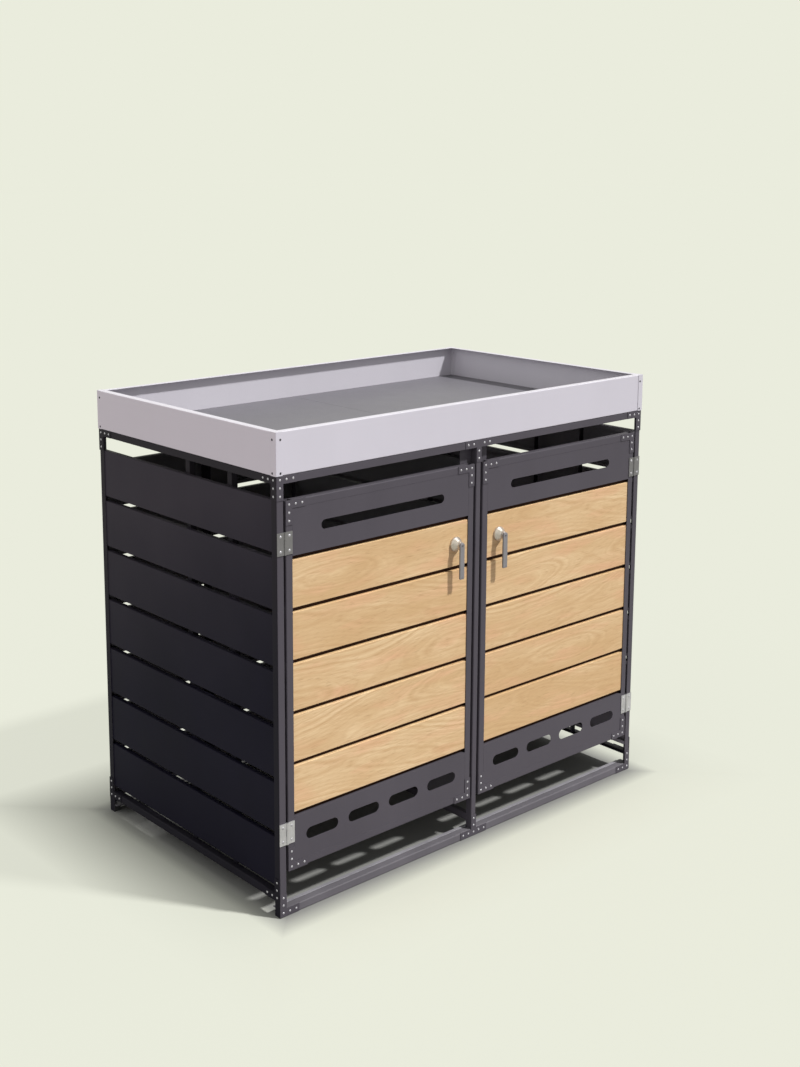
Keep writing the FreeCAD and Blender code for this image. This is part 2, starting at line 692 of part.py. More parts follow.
def cut_slots(body, places, length, height):
    """Cut round-ended slots through a door panel's face."""
    sketch = sketch_on(body, "XZ_Plane", "-(front)")
    for x, z in places:
        long_hole(sketch, x, z, length, height)
    pocket = body.newObject("PartDesign::Pocket", body.Label + "_slots")
    pocket.Profile = sketch
    link(pocket, "Length", "gauge + play + 2 * panel_sheet")
    body.Tip = pocket


def door_panels(prefix, side):
    """A door's top panel with one slot and its bottom panel with four."""
    top = door_panel(prefix + "_top_panel", side, "door_top - panel_high", "door_top - leg - play",
                     "door_top - gauge - play", 1)
    middle = f"{side} * door_middle"
    cut_slots(top, [(middle, "door_top - slot_drop")], "slot_long", "slot_high")
    kick = door_panel(prefix + "_bottom_panel", side, "door_bottom + kick_high",
                      "door_bottom + leg + play", "door_bottom + gauge + play", -1)
    places = [(f"{middle} + {n} * vent_pitch", "door_bottom + vent_rise") for n in (-1.5, -0.5, 0.5, 1.5)]
    cut_slots(kick, places, "vent_long", "vent_high")


def door_boards(prefix, side):
    """Five boards with bevelled long edges. The top one has the lock's hole."""
    body = piece(prefix + "_boards")
    low, high = across(side, "fill_in", "fill_out")
    sketch = sketch_on(body, "YZ_Plane", low)
    ends = (("board_face", 1), ("board_face + board_thick", -1))
    edges = (("board_bottom", 1), ("board_bottom + board_high", -1))
    corners = []
    for y, y_in in ends:
        cuts = []
        for z, z_in in edges:
            flat = (f"{y} + {y_in} * board_bevel", z)
            upright = (y, f"{z} + {z_in} * board_bevel")
            cuts += [flat, upright] if z_in > 0 else [upright, flat]
        corners += cuts if y_in > 0 else cuts[::-1]
    outline(sketch, corners)
    board = body.newObject("PartDesign::Pad", body.Label + "_length")
    board.Profile = sketch
    link(board, "Length", f"({high}) - ({low})")
    body.Tip = board
    repeat(body, [board], "Z_Axis", "board_count", "board_high + board_gap")
    lock = [(f"{side} * lock_in", "lock_z")]
    drill(body, "Y", "front", "leg", lock, "spindle_radius + play")
    spots = board_screw_spots(side, "door_outer - leg / 2")
    spots += board_screw_spots(side, "door_inner + leg / 2")
    drill(body, "Y", "behind_rear - 3 * gauge", "leg", spots)


def door_gussets(prefix, side):
    """Four L plates on the corners of a door's frame."""
    body = piece(prefix + "_gussets")
    for x, inward in (("door_outer", -1), ("door_inner", 1)):
        corner_x = f"{side} * {x}"
        ell_on_face(body, "front - plate_thick", corner_x, "door_bottom", side * inward, 1)
        ell_on_face(body, "front - plate_thick", corner_x, "door_top", side * inward, -1)
    drill(body, "Y", "front - 2 * plate_thick", "3 * plate_thick", door_gusset_spots(side))


# Hinges

def knuckle_span(level, third):
    """Lower and upper Z of one third of a hinge's barrel: 0 the lowest, 2 the highest."""
    low = f"{level} - hinge_high / 2 + {third} * hinge_high / 3"
    gap_low = " + play / 2" if third > 0 else ""
    gap_high = " - play / 2" if third < 2 else ""
    return low + gap_low, f"{level} - hinge_high / 2 + {third + 1} * hinge_high / 3" + gap_high


def barrel(body, side, low, high):
    """One knuckle round the pin's axis."""
    tube = body.newObject("PartDesign::AdditiveCylinder", body.Label + "_knuckle")
    link(tube, "Radius", "barrel_radius")
    link(tube, "Height", f"({high}) - ({low})")
    link(tube, "Placement.Base.x", f"{side} * pin_x")
    link(tube, "Placement.Base.y", "pin_y")
    link(tube, "Placement.Base.z", low)
    body.Tip = tube


def hinge_leaf(body, side, outward, level, thirds):
    """One leaf: a plate, a tab to each of its knuckles and the knuckles."""
    def span(first, last):
        ends = (f"pin_x + {outward} * ({first})", f"pin_x + {outward} * ({last})")
        if outward > 0:
            return across(side, *ends)
        return across(side, ends[1], ends[0])
    leaf_y = ("front - leaf_thick", "front")
    plate_z = (f"{level} - hinge_high / 2", f"{level} + hinge_high / 2")
    slab(body, span("barrel_radius + leaf_play", "leaf_wide"), leaf_y, plate_z)
    for third in thirds:
        low, high = knuckle_span(level, third)
        barrel(body, side, low, high)
        slab(body, span("barrel_radius / 2", "barrel_radius + leaf_play"), leaf_y, (low, high))


def bore_barrels(body, sides):
    """Bore every knuckle of a body along the pins' axes."""
    sketch = sketch_on(body, "XY_Plane", "door_top")
    rounds(sketch, [(f"{side} * pin_x", "pin_y") for side in sides], "pin_radius + pin_play")
    bore = body.newObject("PartDesign::Pocket", body.Label + "_bores")
    bore.Profile = sketch
    link(bore, "Length", "door_height")
    body.Tip = bore


frame_leaves = piece("frame_hinge_leaves")
for hinge_side in (-1, 1):
    for hinge_level in hinge_levels():
        hinge_leaf(frame_leaves, hinge_side, 1, hinge_level, (0, 2))
bore_barrels(frame_leaves, (-1, 1))
FRAME_LEAF_SPOTS = leaf_spots("screw_in", -1) + leaf_spots("screw_in", 1)
drill(frame_leaves, "Y", "front - 2 * gauge", "3 * gauge", FRAME_LEAF_SPOTS)

pins = piece("hinge_pins")
for hinge_side in (-1, 1):
    for hinge_level in hinge_levels():
        pin = pins.newObject("PartDesign::AdditiveCylinder", "pin")
        link(pin, "Radius", "pin_radius")
        link(pin, "Height", "hinge_high")
        link(pin, "Placement.Base.x", f"{hinge_side} * pin_x")
        link(pin, "Placement.Base.y", "pin_y")
        link(pin, "Placement.Base.z", f"{hinge_level} - hinge_high / 2")
        pins.Tip = pin

for post_side, post_name in ((-1, "front_left_post"), (1, "front_right_post")):
    post = doc.getObject(post_name)
    drill(post, "Y", "front - gauge", "3 * gauge", leaf_spots("screw_in", post_side))


def door_leaves(prefix, side):
    """The door's own leaves, each with the middle knuckle."""
    body = piece(prefix + "_hinge_leaves")
    for level in hinge_levels():
        hinge_leaf(body, side, -1, level, (1,))
    bore_barrels(body, (side,))
    drill(body, "Y", "front - 2 * gauge", "3 * gauge", leaf_spots("-screw_in", side))


# Locks

def turned(body, corners, x, z):
    """A solid of revolution about an axis through (x, z) that looks along Y."""
    sketch = sketch_on(body, "YZ_Plane", x)
    outline(sketch, [(y, f"({z}) + ({radius})") for y, radius in corners])
    rough = Part.LineSegment(FreeCAD.Vector(0, 0, 0), FreeCAD.Vector(ROUGH, 0, 0))
    line = sketch.addGeometry(rough, True)
    pin_point(sketch, line, 1, "board_face - leg", z)
    pin_point(sketch, line, 2, "board_face + leg", z)
    spin = body.newObject("PartDesign::Revolution", body.Label + "_round")
    spin.Profile = sketch
    spin.ReferenceAxis = (sketch, ["Axis0"])
    spin.Angle = 360
    body.Tip = spin


def lock_rose(prefix, side):
    """The round rose on the board: a straight collar and a cone up to the neck, bored."""
    body = piece(prefix + "_lock_rose")
    bore = "spindle_radius + pin_play"
    face = "board_face"
    corners = [(face, bore), (face, "rose_radius"), (f"{face} - rose_collar", "rose_radius"),
               (f"{face} - rose_high + play", "neck_radius"), (f"{face} - rose_high + play", bore)]
    turned(body, corners, f"{side} * lock_in", "lock_z")


def lever(prefix, side):
    """A flat lever that hangs from the spindle, rounded at its upper end."""
    body = piece(prefix + "_lever")
    x = f"{side} * lock_in"
    half_wide = "lever_wide / 2"
    sketch = sketch_on(body, "XZ_Plane", "-(lever_front)")
    corners = [(f"{x} - {half_wide}", "lock_z"), (f"{x} - {half_wide}", "lock_z - lever_long"),
               (f"{x} + {half_wide}", "lock_z - lever_long"), (f"{x} + {half_wide}", "lock_z")]
    near_points = [FreeCAD.Vector(measure(u), measure(v), 0) for u, v in corners]
    centre = (near_points[0] + near_points[3]) / 2
    circle = Part.Circle(centre, FreeCAD.Vector(0, 0, 1), measure(half_wide))
    head = sketch.addGeometry(Part.ArcOfCircle(circle, 0, math.pi), False)
    edges = [Part.LineSegment(near_points[n], near_points[n + 1]) for n in range(3)]
    first = sketch.addGeometry(edges, False)[0]
    last = first + len(edges) - 1
    for start, follower in ((head, first), (first, first + 1), (first + 1, last), (last, head)):
        sketch.addConstraint(Sketcher.Constraint("Coincident", start, 2, follower, 1))
    for n, (u, v) in enumerate(corners[:3]):
        pin_point(sketch, first + n, 1, u, v)
    pin_point(sketch, last, 2, *corners[3])
    number = sketch.addConstraint(
        Sketcher.Constraint("DistanceY", -1, 1, head, 3, measure("lock_z")))
    link(sketch, f"Constraints[{number}]", "lock_z")
    bar = body.newObject("PartDesign::Pad", body.Label + "_bar")
    bar.Profile = sketch
    bar.Reversed = True
    link(bar, "Length", "lever_thick")
    body.Tip = bar
    doc.recompute()
    front_y = measure("lever_front")
    rims = [f"Edge{n}" for n, edge in enumerate(bar.Shape.Edges, start=1)
            if abs(edge.BoundBox.YMin - front_y) < SAME_PLACE and edge.BoundBox.YLength < SAME_PLACE]
    soft = body.newObject("PartDesign::Fillet", body.Label + "_soft_edges")
    soft.Base = (bar, rims)
    link(soft, "Radius", "lever_round")
    body.Tip = soft


def spindle(prefix, side):
    """The round spindle from the lever through the rose and the board to the nut."""
    body = piece(prefix + "_spindle")
    x = f"{side} * lock_in"
    core = "spindle_radius"
    end = "cam_back + nut_high"
    corners = [("lever_back", "0"), ("lever_back", core), (end, core), (end, "0")]
    turned(body, corners, x, "lock_z")


def cam(prefix, side):
    """The cam on the spindle's inner end, and the nut that holds it: two solids."""
    body = piece(prefix + "_cam")
    x = f"{side} * lock_in"
    wide = "cam_wide / 2"
    slab(body, (f"{x} - {wide}", f"{x} + {wide}"), ("cam_front", "cam_back"),
         (f"lock_z - {wide}", "lock_z + cam_long"))
    drill(body, "Y", "cam_front - cam_thick", "3 * cam_thick", [(x, "lock_z")],
          "spindle_radius + pin_play")
    sketch = sketch_on(body, "XZ_Plane", "-(cam_back)")
    hexagon = [(f"{x} + nut_radius * cos({60 * n})", f"lock_z + nut_radius * sin({60 * n})")
               for n in range(6)]
    outline(sketch, hexagon)
    rounds(sketch, [(x, "lock_z")], "spindle_radius + pin_play")
    nut = body.newObject("PartDesign::Pad", body.Label + "_nut")
    nut.Profile = sketch
    nut.Reversed = True
    link(nut, "Length", "nut_high")
    body.Tip = nut


for door_name, door_side in (("left_door", -1), ("right_door", 1)):
    stile(door_name + "_hinge_stile", door_side, "door_outer", -1)
    stile(door_name + "_free_stile", door_side, "door_inner", 1)
    door_rails(door_name + "_rails", door_side)
    door_panels(door_name, door_side)
    door_boards(door_name, door_side)
    door_gussets(door_name, door_side)
    door_leaves(door_name, door_side)
    lock_rose(door_name, door_side)
for handle_name, handle_side in (("left_handle", -1), ("right_handle", 1)):
    lever(handle_name, handle_side)
    spindle(handle_name, handle_side)
    cam(handle_name, handle_side)


# Planter tray

def tray_face_wall(name, face, inward):
    """The front or back wall: a sheet with lips turned in and end tabs behind the side walls."""
    body = piece(name)
    span = ("-width / 2 + tray_sheet", "width / 2 - tray_sheet")
    inner = ("-width / 2 + 2 * tray_sheet", "width / 2 - 2 * tray_sheet")
    plate_y = between(face, inward, "tray_sheet", "2 * tray_sheet")
    lip_y = between(face, inward, "2 * tray_sheet", "tray_lip")
    slab(body, span, plate_y, ("frame_height", "tray_top"))
    slab(body, inner, lip_y, ("tray_top - tray_sheet", "tray_top"))
    slab(body, inner, lip_y, ("frame_height", "frame_height + tray_sheet"))
    for side in (-1, 1):
        tab_x = across(side, "width / 2 - 2 * tray_sheet", "width / 2 - tray_sheet")
        slab(body, tab_x, between(face, inward, "2 * tray_sheet", "tray_lip"), ("frame_height", "tray_top"))
    spots = []
    for side in (-1, 1):
        x = f"{side} * (width / 2 - tray_rivet_in)"
        spots += [(x, "frame_height + tray_rivet_low"), (x, "tray_top - tray_rivet_high")]
    drill(body, "Y", f"{plate_y[0]} - tray_sheet", "3 * tray_sheet", spots)
    y = f"{face} + {inward} * tray_rivet_in"
    spots = [(y, "frame_height + tray_rivet_low"), (y, "tray_top - tray_rivet_high")]
    for level in ("width / 2", "-width / 2 + 3 * tray_sheet"):
        drill(body, "X", level, "3 * tray_sheet", spots)


def tray_side_wall(name, side):
    """A side wall: a sheet with lips turned in, folded round onto the front and the back."""
    body = piece(name)
    plate_x = across(side, "width / 2 - tray_sheet", "width / 2")
    tab_x = across(side, "width / 2 - tray_lip", "width / 2 - tray_sheet")
    lip_y = ("tray_front + tray_lip + play", "tray_back - tray_lip - play")
    slab(body, plate_x, ("tray_front", "tray_back"), ("frame_height", "tray_top"))
    slab(body, tab_x, lip_y, ("tray_top - tray_sheet", "tray_top"))
    slab(body, tab_x, lip_y, ("frame_height", "frame_height + tray_sheet"))
    slab(body, tab_x, ("tray_front", "tray_front + tray_sheet"), ("frame_height", "tray_top"))
    slab(body, tab_x, ("tray_back - tray_sheet", "tray_back"), ("frame_height", "tray_top"))
    x = f"{side} * (width / 2 - tray_rivet_in)"
    spots = [(x, "frame_height + tray_rivet_low"), (x, "tray_top - tray_rivet_high")]
    for level in ("tray_front - tray_sheet", "tray_back - 2 * tray_sheet"):
        drill(body, "Y", level, "3 * tray_sheet", spots)
    spots = []
    for y in ("tray_front + tray_rivet_in", "tray_back - tray_rivet_in"):
        spots += [(y, "frame_height + tray_rivet_low"), (y, "tray_top - tray_rivet_high")]
    level = "width / 2 + tray_sheet" if side > 0 else "-width / 2 + 2 * tray_sheet"
    drill(body, "X", level, "3 * tray_sheet", spots)


tray_face_wall("tray_front_wall", "tray_front", 1)
tray_face_wall("tray_back_wall", "tray_back", -1)
tray_side_wall("tray_left_wall", -1)
tray_side_wall("tray_right_wall", 1)

floor_y = ("tray_front + 2 * tray_sheet + play", "tray_back - 2 * tray_sheet - play")
floor_sheets = piece("tray_floor_sheets")
for floor_side in (-1, 1):
    floor_x = across(floor_side, "seam / 2", "width / 2 - 2 * tray_sheet - play")
    slab(floor_sheets, floor_x, floor_y, ("floor_top - tray_sheet", "floor_top"))

bearers = piece("tray_bearers")
bearer_low = "frame_height + tray_sheet"
bearer_high = "floor_top - tray_sheet"
bearer_start = "-width / 2 + tray_lip + play"
bearer_corners = [(bearer_start, bearer_low), (bearer_start, bearer_high),
                  (f"{bearer_start} + bearer_wide", bearer_high),
                  (f"{bearer_start} + bearer_wide", bearer_low),
                  (f"{bearer_start} + bearer_wide - tray_sheet", bearer_low),
                  (f"{bearer_start} + bearer_wide - tray_sheet", f"{bearer_high} - tray_sheet"),
                  (f"{bearer_start} + tray_sheet", f"{bearer_high} - tray_sheet"),
                  (f"{bearer_start} + tray_sheet", bearer_low)]
bearer = section(bearers, "XZ_Plane", bearer_corners, *floor_y)
bearer_pitch = "(width - 2 * tray_lip - 2 * play - bearer_wide) / (bearer_count - 1)"
repeat(bearers, [bearer], "X_Axis", "bearer_count", bearer_pitch)


# Rivets and screws

def fastener(head_radius, head_high, shank_radius, shank_long):
    """A domed head on a shank, about the Z axis, with the head's seat at Z 0."""
    seat = FreeCAD.Vector(head_radius, 0, 0)
    crown = FreeCAD.Vector(0, 0, head_high)
    shoulder = FreeCAD.Vector(DOME_MIDDLE * head_radius, 0, DOME_MIDDLE * head_high)
    neck = FreeCAD.Vector(shank_radius, 0, 0)
    tip = FreeCAD.Vector(shank_radius, 0, -shank_long)
    foot_point = FreeCAD.Vector(0, 0, -shank_long)
    edges = [Part.Arc(crown, shoulder, seat).toShape(), Part.makeLine(seat, neck),
             Part.makeLine(neck, tip), Part.makeLine(tip, foot_point),
             Part.makeLine(foot_point, crown)]
    face = Part.Face(Part.Wire(edges))
    return face.revolve(FreeCAD.Vector(0, 0, 0), FreeCAD.Vector(0, 0, 1), 360)


def set_fasteners(name, master_sets):
    """One node of separate fasteners: (master, outward direction, places) for each set."""
    copies = []
    for master, outward, places in master_sets:
        turn = FreeCAD.Rotation(FreeCAD.Vector(0, 0, 1), outward)
        for place in places:
            spot = FreeCAD.Vector(*(measure(rule) for rule in place))
            copy = master.copy()
            copy.Placement = FreeCAD.Placement(spot, turn)
            copies.append(copy)
    group = doc.addObject("Part::Feature", name)
    group.Label = name
    group.Shape = Part.makeCompound(copies)
    group.Placement = FreeCAD.Placement()


def on_face(spots, y):
    """Places on an upright face that looks along Y."""
    return [(x, y, z) for x, z in spots]


def on_side(spots, x):
    """Places on an upright face that looks along X."""
    return [(x, y, z) for y, z in spots]


FRONTWARDS = FreeCAD.Vector(0, -1, 0)
BACKWARDS = FreeCAD.Vector(0, 1, 0)
LEFTWARDS = FreeCAD.Vector(-1, 0, 0)
RIGHTWARDS = FreeCAD.Vector(1, 0, 0)

head = measure("head_radius")
head_rise = measure("head_high")
shank = measure("rivet_radius")
screw_head = measure("screw_head_radius")
plate_rivet = fastener(head, head_rise, shank, measure("plate_thick + gauge"))
tray_rivet = fastener(head, head_rise, shank, measure("2 * tray_sheet"))
hinge_screw = fastener(screw_head, head_rise, shank, measure("leaf_thick + gauge"))
board_screw = fastener(screw_head, head_rise, shank, measure("3 * gauge + play"))

rivet_sets = [
    (plate_rivet, FRONTWARDS, on_face(FACE_SPOTS + TEE_SPOTS, "front - plate_thick")),
    (plate_rivet, BACKWARDS, on_face(FACE_SPOTS + TEE_SPOTS, "back + plate_thick")),
    (plate_rivet, LEFTWARDS, on_side(SIDE_SPOTS, "-half - plate_thick")),
    (plate_rivet, RIGHTWARDS, on_side(SIDE_SPOTS, "half + plate_thick")),
]
set_fasteners("frame_rivets", rivet_sets)

tray_face_spots = []
tray_side_spots = []
for level_rule in ("frame_height + tray_rivet_low", "tray_top - tray_rivet_high"):
    for spot_side in (-1, 1):
        tray_face_spots.append((f"{spot_side} * (width / 2 - tray_rivet_in)", level_rule))
    tray_side_spots.append(("tray_front + tray_rivet_in", level_rule))
    tray_side_spots.append(("tray_back - tray_rivet_in", level_rule))
set_fasteners("tray_rivets", [
    (tray_rivet, FRONTWARDS, on_face(tray_face_spots, "tray_front")),
    (tray_rivet, BACKWARDS, on_face(tray_face_spots, "tray_back")),
    (tray_rivet, LEFTWARDS, on_side(tray_side_spots, "-width / 2")),
    (tray_rivet, RIGHTWARDS, on_side(tray_side_spots, "width / 2")),
])
set_fasteners("frame_hinge_screws", [
    (hinge_screw, FRONTWARDS, on_face(FRAME_LEAF_SPOTS, "front - leaf_thick")),
])
for door_name, door_side in (("left_door", -1), ("right_door", 1)):
    board_ends = board_screw_spots(door_side, "door_outer - leg / 2")
    board_ends += board_screw_spots(door_side, "door_inner + leg / 2")
    set_fasteners(door_name + "_fasteners", [
        (plate_rivet, FRONTWARDS, on_face(door_gusset_spots(door_side), "front - plate_thick")),
        (hinge_screw, FRONTWARDS, on_face(leaf_spots("-screw_in", door_side), "front - leaf_thick")),
        (board_screw, BACKWARDS, on_face(board_ends, "door_rear")),
    ])


# Check every object and write one file for each sub-part

def write_parts():
    """Stop on anything that failed, then write the sub-parts."""
    doc.recompute()
    for item in doc.Objects:
        if "Invalid" in item.State or "Error" in item.State:
            raise RuntimeError(f"{item.Label} is in state {item.State}")
    nodes = [item for item in doc.Objects if item.TypeId in ("PartDesign::Body", "Part::Feature")]
    os.makedirs("parts", exist_ok=True)
    for item in nodes:
        shape = item.Shape
        if shape.isNull() or not shape.isValid():
            raise RuntimeError(f"{item.Label} has no valid shape")
        box = shape.BoundBox
        print(f"{item.Label}: {len(shape.Solids)} solids, x {box.XMin:.1f} to {box.XMax:.1f}, "
              f"y {box.YMin:.1f} to {box.YMax:.1f}, z {box.ZMin:.1f} to {box.ZMax:.1f}")
        shape.exportStep(f"parts/{item.Label}.step")
    print(len(nodes), "sub-parts")


write_parts()
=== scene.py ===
# %% [markdown]
# # A store for two wheelie bins
#
# The store is a frame of folded metal angles, riveted at its corners, with walls of folded slats, two
# doors clad in oak boards and a planter tray as its roof. The measured model comes in first and stays
# where it is. It could be dressed with materials alone, but its folds are knife sharp, and real folded
# sheet has a small radius that catches the light. So the folded pieces are made again here, each in the
# place of the node that it stands for, and the flat plates and rivets keep their measured shape.

# %% Load the measured model
import json
import math

import bpy
import numpy as np
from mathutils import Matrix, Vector


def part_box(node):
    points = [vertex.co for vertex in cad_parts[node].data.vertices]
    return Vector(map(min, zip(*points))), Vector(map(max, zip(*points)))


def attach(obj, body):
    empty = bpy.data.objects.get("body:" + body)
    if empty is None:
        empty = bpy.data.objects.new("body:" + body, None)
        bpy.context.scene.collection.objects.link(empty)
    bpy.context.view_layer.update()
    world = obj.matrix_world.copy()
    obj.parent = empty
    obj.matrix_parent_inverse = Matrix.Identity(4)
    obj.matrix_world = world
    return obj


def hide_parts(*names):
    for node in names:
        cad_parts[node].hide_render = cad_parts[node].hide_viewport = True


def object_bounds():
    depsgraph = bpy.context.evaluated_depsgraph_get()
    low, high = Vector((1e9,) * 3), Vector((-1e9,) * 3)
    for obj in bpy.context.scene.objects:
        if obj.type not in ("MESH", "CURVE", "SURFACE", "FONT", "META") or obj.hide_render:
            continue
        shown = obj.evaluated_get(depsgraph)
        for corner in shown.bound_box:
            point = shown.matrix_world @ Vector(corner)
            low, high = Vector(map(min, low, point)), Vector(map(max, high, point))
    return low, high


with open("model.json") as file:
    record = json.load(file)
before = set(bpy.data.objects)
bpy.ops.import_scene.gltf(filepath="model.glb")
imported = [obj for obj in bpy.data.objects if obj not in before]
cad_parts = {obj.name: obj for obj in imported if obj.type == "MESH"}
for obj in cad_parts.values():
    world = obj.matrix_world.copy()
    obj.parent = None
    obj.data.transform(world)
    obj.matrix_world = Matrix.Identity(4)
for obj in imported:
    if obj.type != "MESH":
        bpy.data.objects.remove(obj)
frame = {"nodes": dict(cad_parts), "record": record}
measured_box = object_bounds()

# %% [markdown]
# Sizes that the folded pieces share. The places come from the nodes' own boxes, so they are read and
# not typed again. What a box can't tell is the thickness of a sheet and the radius of its folds, and
# those are named here, in metres.

# %% Sizes of sheet and folds
GAUGE = 0.002
LEG = 0.020
SLAT_SHEET = 0.0012
TRAY_SHEET = 0.0015
TRAY_LIP = 0.020
BEND = 0.0011
SHORN_EDGE = 0.0003
PLAY = 0.0003
ARC_STEPS = 4
SIDES = {"left": -1, "right": 1}


def limits(node):
    """Lowest and highest corner of a node, as two arrays."""
    low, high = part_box(node)
    return np.array(low), np.array(high)


post_low = limits("front_left_post")[0]
tray_low = limits("tray_front_wall")[0]
print("front plane y:", round(post_low[1], 5), "tray starts at z:", round(tray_low[2], 4))

# %% [markdown]
# A folded sheet is the same all along its length, so one section says it all. The section could be
# drawn corner by corner with its thickness, but a sheet-metal worker thinks of the outer face alone, as
# a path with right-angled turns. So `folded` takes that path and a thickness and works out the other
# face, and `rounded` then puts an arc in every corner: a wide one outside a fold, a tight one inside it,
# and a hair's breadth on the shorn edges.

# %% Sections of folded sheet
def unit(vectors):
    """Each row of an array, scaled to length one."""
    return vectors / np.linalg.norm(vectors, axis=-1, keepdims=True)


def folded(path, sheet, bend=BEND):
    """Closed corners and radii of a sheet that follows a path of right-angled turns.

    With n the unit normal to the left of each run, an inner corner lies at P + sheet (n before + n
    after), and an end at P + sheet n. The sheet always lies to the left of the path. A turn to the left
    has the wide radius on the path and the tight one on the far face, and a turn to the right the other
    way round.
    """
    path = np.array(path, float)
    run = unit(np.diff(path, axis=0))
    normal = np.stack([-run[:, 1], run[:, 0]], axis=1)
    offset = np.vstack([normal[:1], normal[:-1] + normal[1:], normal[-1:]])
    far = path + sheet * offset
    turn = run[:-1, 0] * run[1:, 1] - run[:-1, 1] * run[1:, 0]
    on_path = np.where(turn > 0, bend + sheet, bend)
    on_far = np.where(turn > 0, bend, bend + sheet)
    ends = [SHORN_EDGE]
    radii = np.concatenate([ends, on_path, ends, ends, on_far[::-1], ends])
    return np.vstack([path, far[::-1]]), radii


def rounded(corners, radii):
    """A closed outline with an arc at each right-angled corner, and its outward normals.

    A corner P between the unit directions a, to the corner before it, and b, to the one after it, has
    its centre at P + r (a + b), and its arc is centre - r (b cos t + a sin t) for t from nothing to a
    quarter turn. Outside a fold the normal points away from the centre, and inside it towards it.
    """
    corners = np.array(corners, float)
    before = unit(np.roll(corners, 1, axis=0) - corners)
    after = unit(np.roll(corners, -1, axis=0) - corners)
    hollow = np.where(after[:, 0] * before[:, 1] - after[:, 1] * before[:, 0] > 0, -1.0, 1.0)
    t = np.linspace(0, math.pi / 2, ARC_STEPS + 1)[None, :, None]
    radius = np.array(radii, float)[:, None, None]
    spoke = after[:, None] * np.cos(t) + before[:, None] * np.sin(t)
    centre = corners[:, None] + radius * (before + after)[:, None]
    points = centre - radius * spoke
    normals = hollow[:, None, None] * spoke
    return points.reshape(-1, 2), normals.reshape(-1, 2)


angle_section = folded([(0, 1), (0, 0), (1, 0)], sheet=0.1, bend=0.05)
print("points in an L section:", len(rounded(*angle_section)[0]))

# %% [markdown]
# The section then becomes a bar: the outline is carried along X, Y or Z from one end to the other. It
# could be lofted in edit mode, but as arrays it is one line: the outline at the start, the outline at
# the end, and a ring of four-sided faces between them. The exact normals of the outline go into the
# mesh too, so flat faces shade flat and folds shade round without any extra loops.

# %% Bars and plates
AXES = {"x": (1, 2, 0), "y": (0, 2, 1), "z": (0, 1, 2)}


def bar(section, axis, start, end):
    """A section carried straight along an axis: vertices, faces and a normal for each face corner.

    The vertex of outline point (u, v) at place w is (u, v, w) with its parts in the axis's own order.
    The side face from point n to point n + 1 has the corners (n, n + 1) at one end and (n + 1, n) at
    the other.
    """
    outline, normals = rounded(*section)
    ahead = np.roll(outline, -1, axis=0)
    area = np.sum(outline[:, 0] * ahead[:, 1] - ahead[:, 0] * outline[:, 1])
    order = AXES[axis]
    if (area > 0) == (axis == "y"):
        outline = outline[::-1]
        normals = normals[::-1]
    count = len(outline)
    flat = np.zeros((2 * count, 3))
    flat[:, :2] = np.tile(outline, (2, 1))
    flat[:, 2] = np.repeat([start, end], count)
    vertices = np.empty_like(flat)
    vertices[:, order] = flat
    outward = np.zeros((count, 3))
    outward[:, order[0]] = normals[:, 0]
    outward[:, order[1]] = normals[:, 1]
    n = np.arange(count)
    follow = (n + 1) % count
    quads = np.stack([n, follow, follow + count, n + count], axis=1)
    along = np.zeros(3)
    along[order[2]] = 1.0
    face_normals = [outward[quads % count].reshape(-1, 3)]
    face_normals.append(np.tile(-along, (count, 1)))
    face_normals.append(np.tile(along, (count, 1)))
    faces = quads.tolist() + [n[::-1].tolist(), (n + count).tolist()]
    return vertices, faces, np.vstack(face_normals)


def rectangle(low, high, radius=SHORN_EDGE):
    """The section of a flat plate or a board: four corners with one radius."""
    (u0, v0), (u1, v1) = low, high
    return [(u0, v0), (u1, v0), (u1, v1), (u0, v1)], [radius] * 4


print("axes of a bar:", sorted(AXES))

# %% [markdown]
# A piece is one object made of one or more bars, such as all the slats of a wall. It is fixed to the
# body that carries it, takes its finish, and stands in the place of its measured node, which is then
# hidden. Some pieces have a second colour on the faces that look one way, which is painted shade on some
# pieces and painted light on others. They could be cut in two, but it is enough to give a second finish
# to the faces that look one way, and a face's own normal says which way that is.

# %% Pieces and second coats
SQUARE_ON = 0.7


def make_piece(name, bars, body, finish, stands_for):
    """One object from one or more bars, in the place of the nodes that it stands for, if any."""
    starts = np.cumsum([0] + [len(part[0]) for part in bars])
    mesh = bpy.data.meshes.new(name)
    faces = [[index + int(start) for index in face]
             for part, start in zip(bars, starts) for face in part[1]]
    mesh.from_pydata(np.vstack([part[0] for part in bars]).tolist(), [], faces)
    mesh.polygons.foreach_set("use_smooth", np.ones(len(faces), bool))
    mesh.normals_split_custom_set(np.vstack([part[2] for part in bars]).tolist())
    mesh.materials.append(finish)
    piece = bpy.data.objects.new(name, mesh)
    bpy.context.scene.collection.objects.link(piece)
    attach(piece, body)
    if stands_for:
        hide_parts(*stands_for)
    return piece


def coat_facing(piece, finish, axis, outwards=True):
    """A second finish on the faces that look away from the store's middle, or towards it.

    With n the part of a face's normal along the axis and c its centre's, a face looks outwards where n
    times the sign of c is over SQUARE_ON, and inwards where it is under -SQUARE_ON.
    """
    polygons = piece.data.polygons
    normals = np.empty(3 * len(polygons))
    centres = np.empty(3 * len(polygons))
    polygons.foreach_get("normal", normals)
    polygons.foreach_get("center", centres)
    looks = normals[axis::3] * np.sign(centres[axis::3]) * (1 if outwards else -1)
    piece.data.materials.append(finish)
    polygons.foreach_set("material_index", (looks > SQUARE_ON).astype(np.int32))


print("a face looks along an axis if it is up to", round(math.degrees(math.acos(SQUARE_ON)), 1),
      "degrees off it")

# %% [markdown]
# Finishes are built from shader nodes. Wiring them by hand hides the sums that they stand for, so a
# small class holds one socket and lets Python's own operators add the Math nodes.

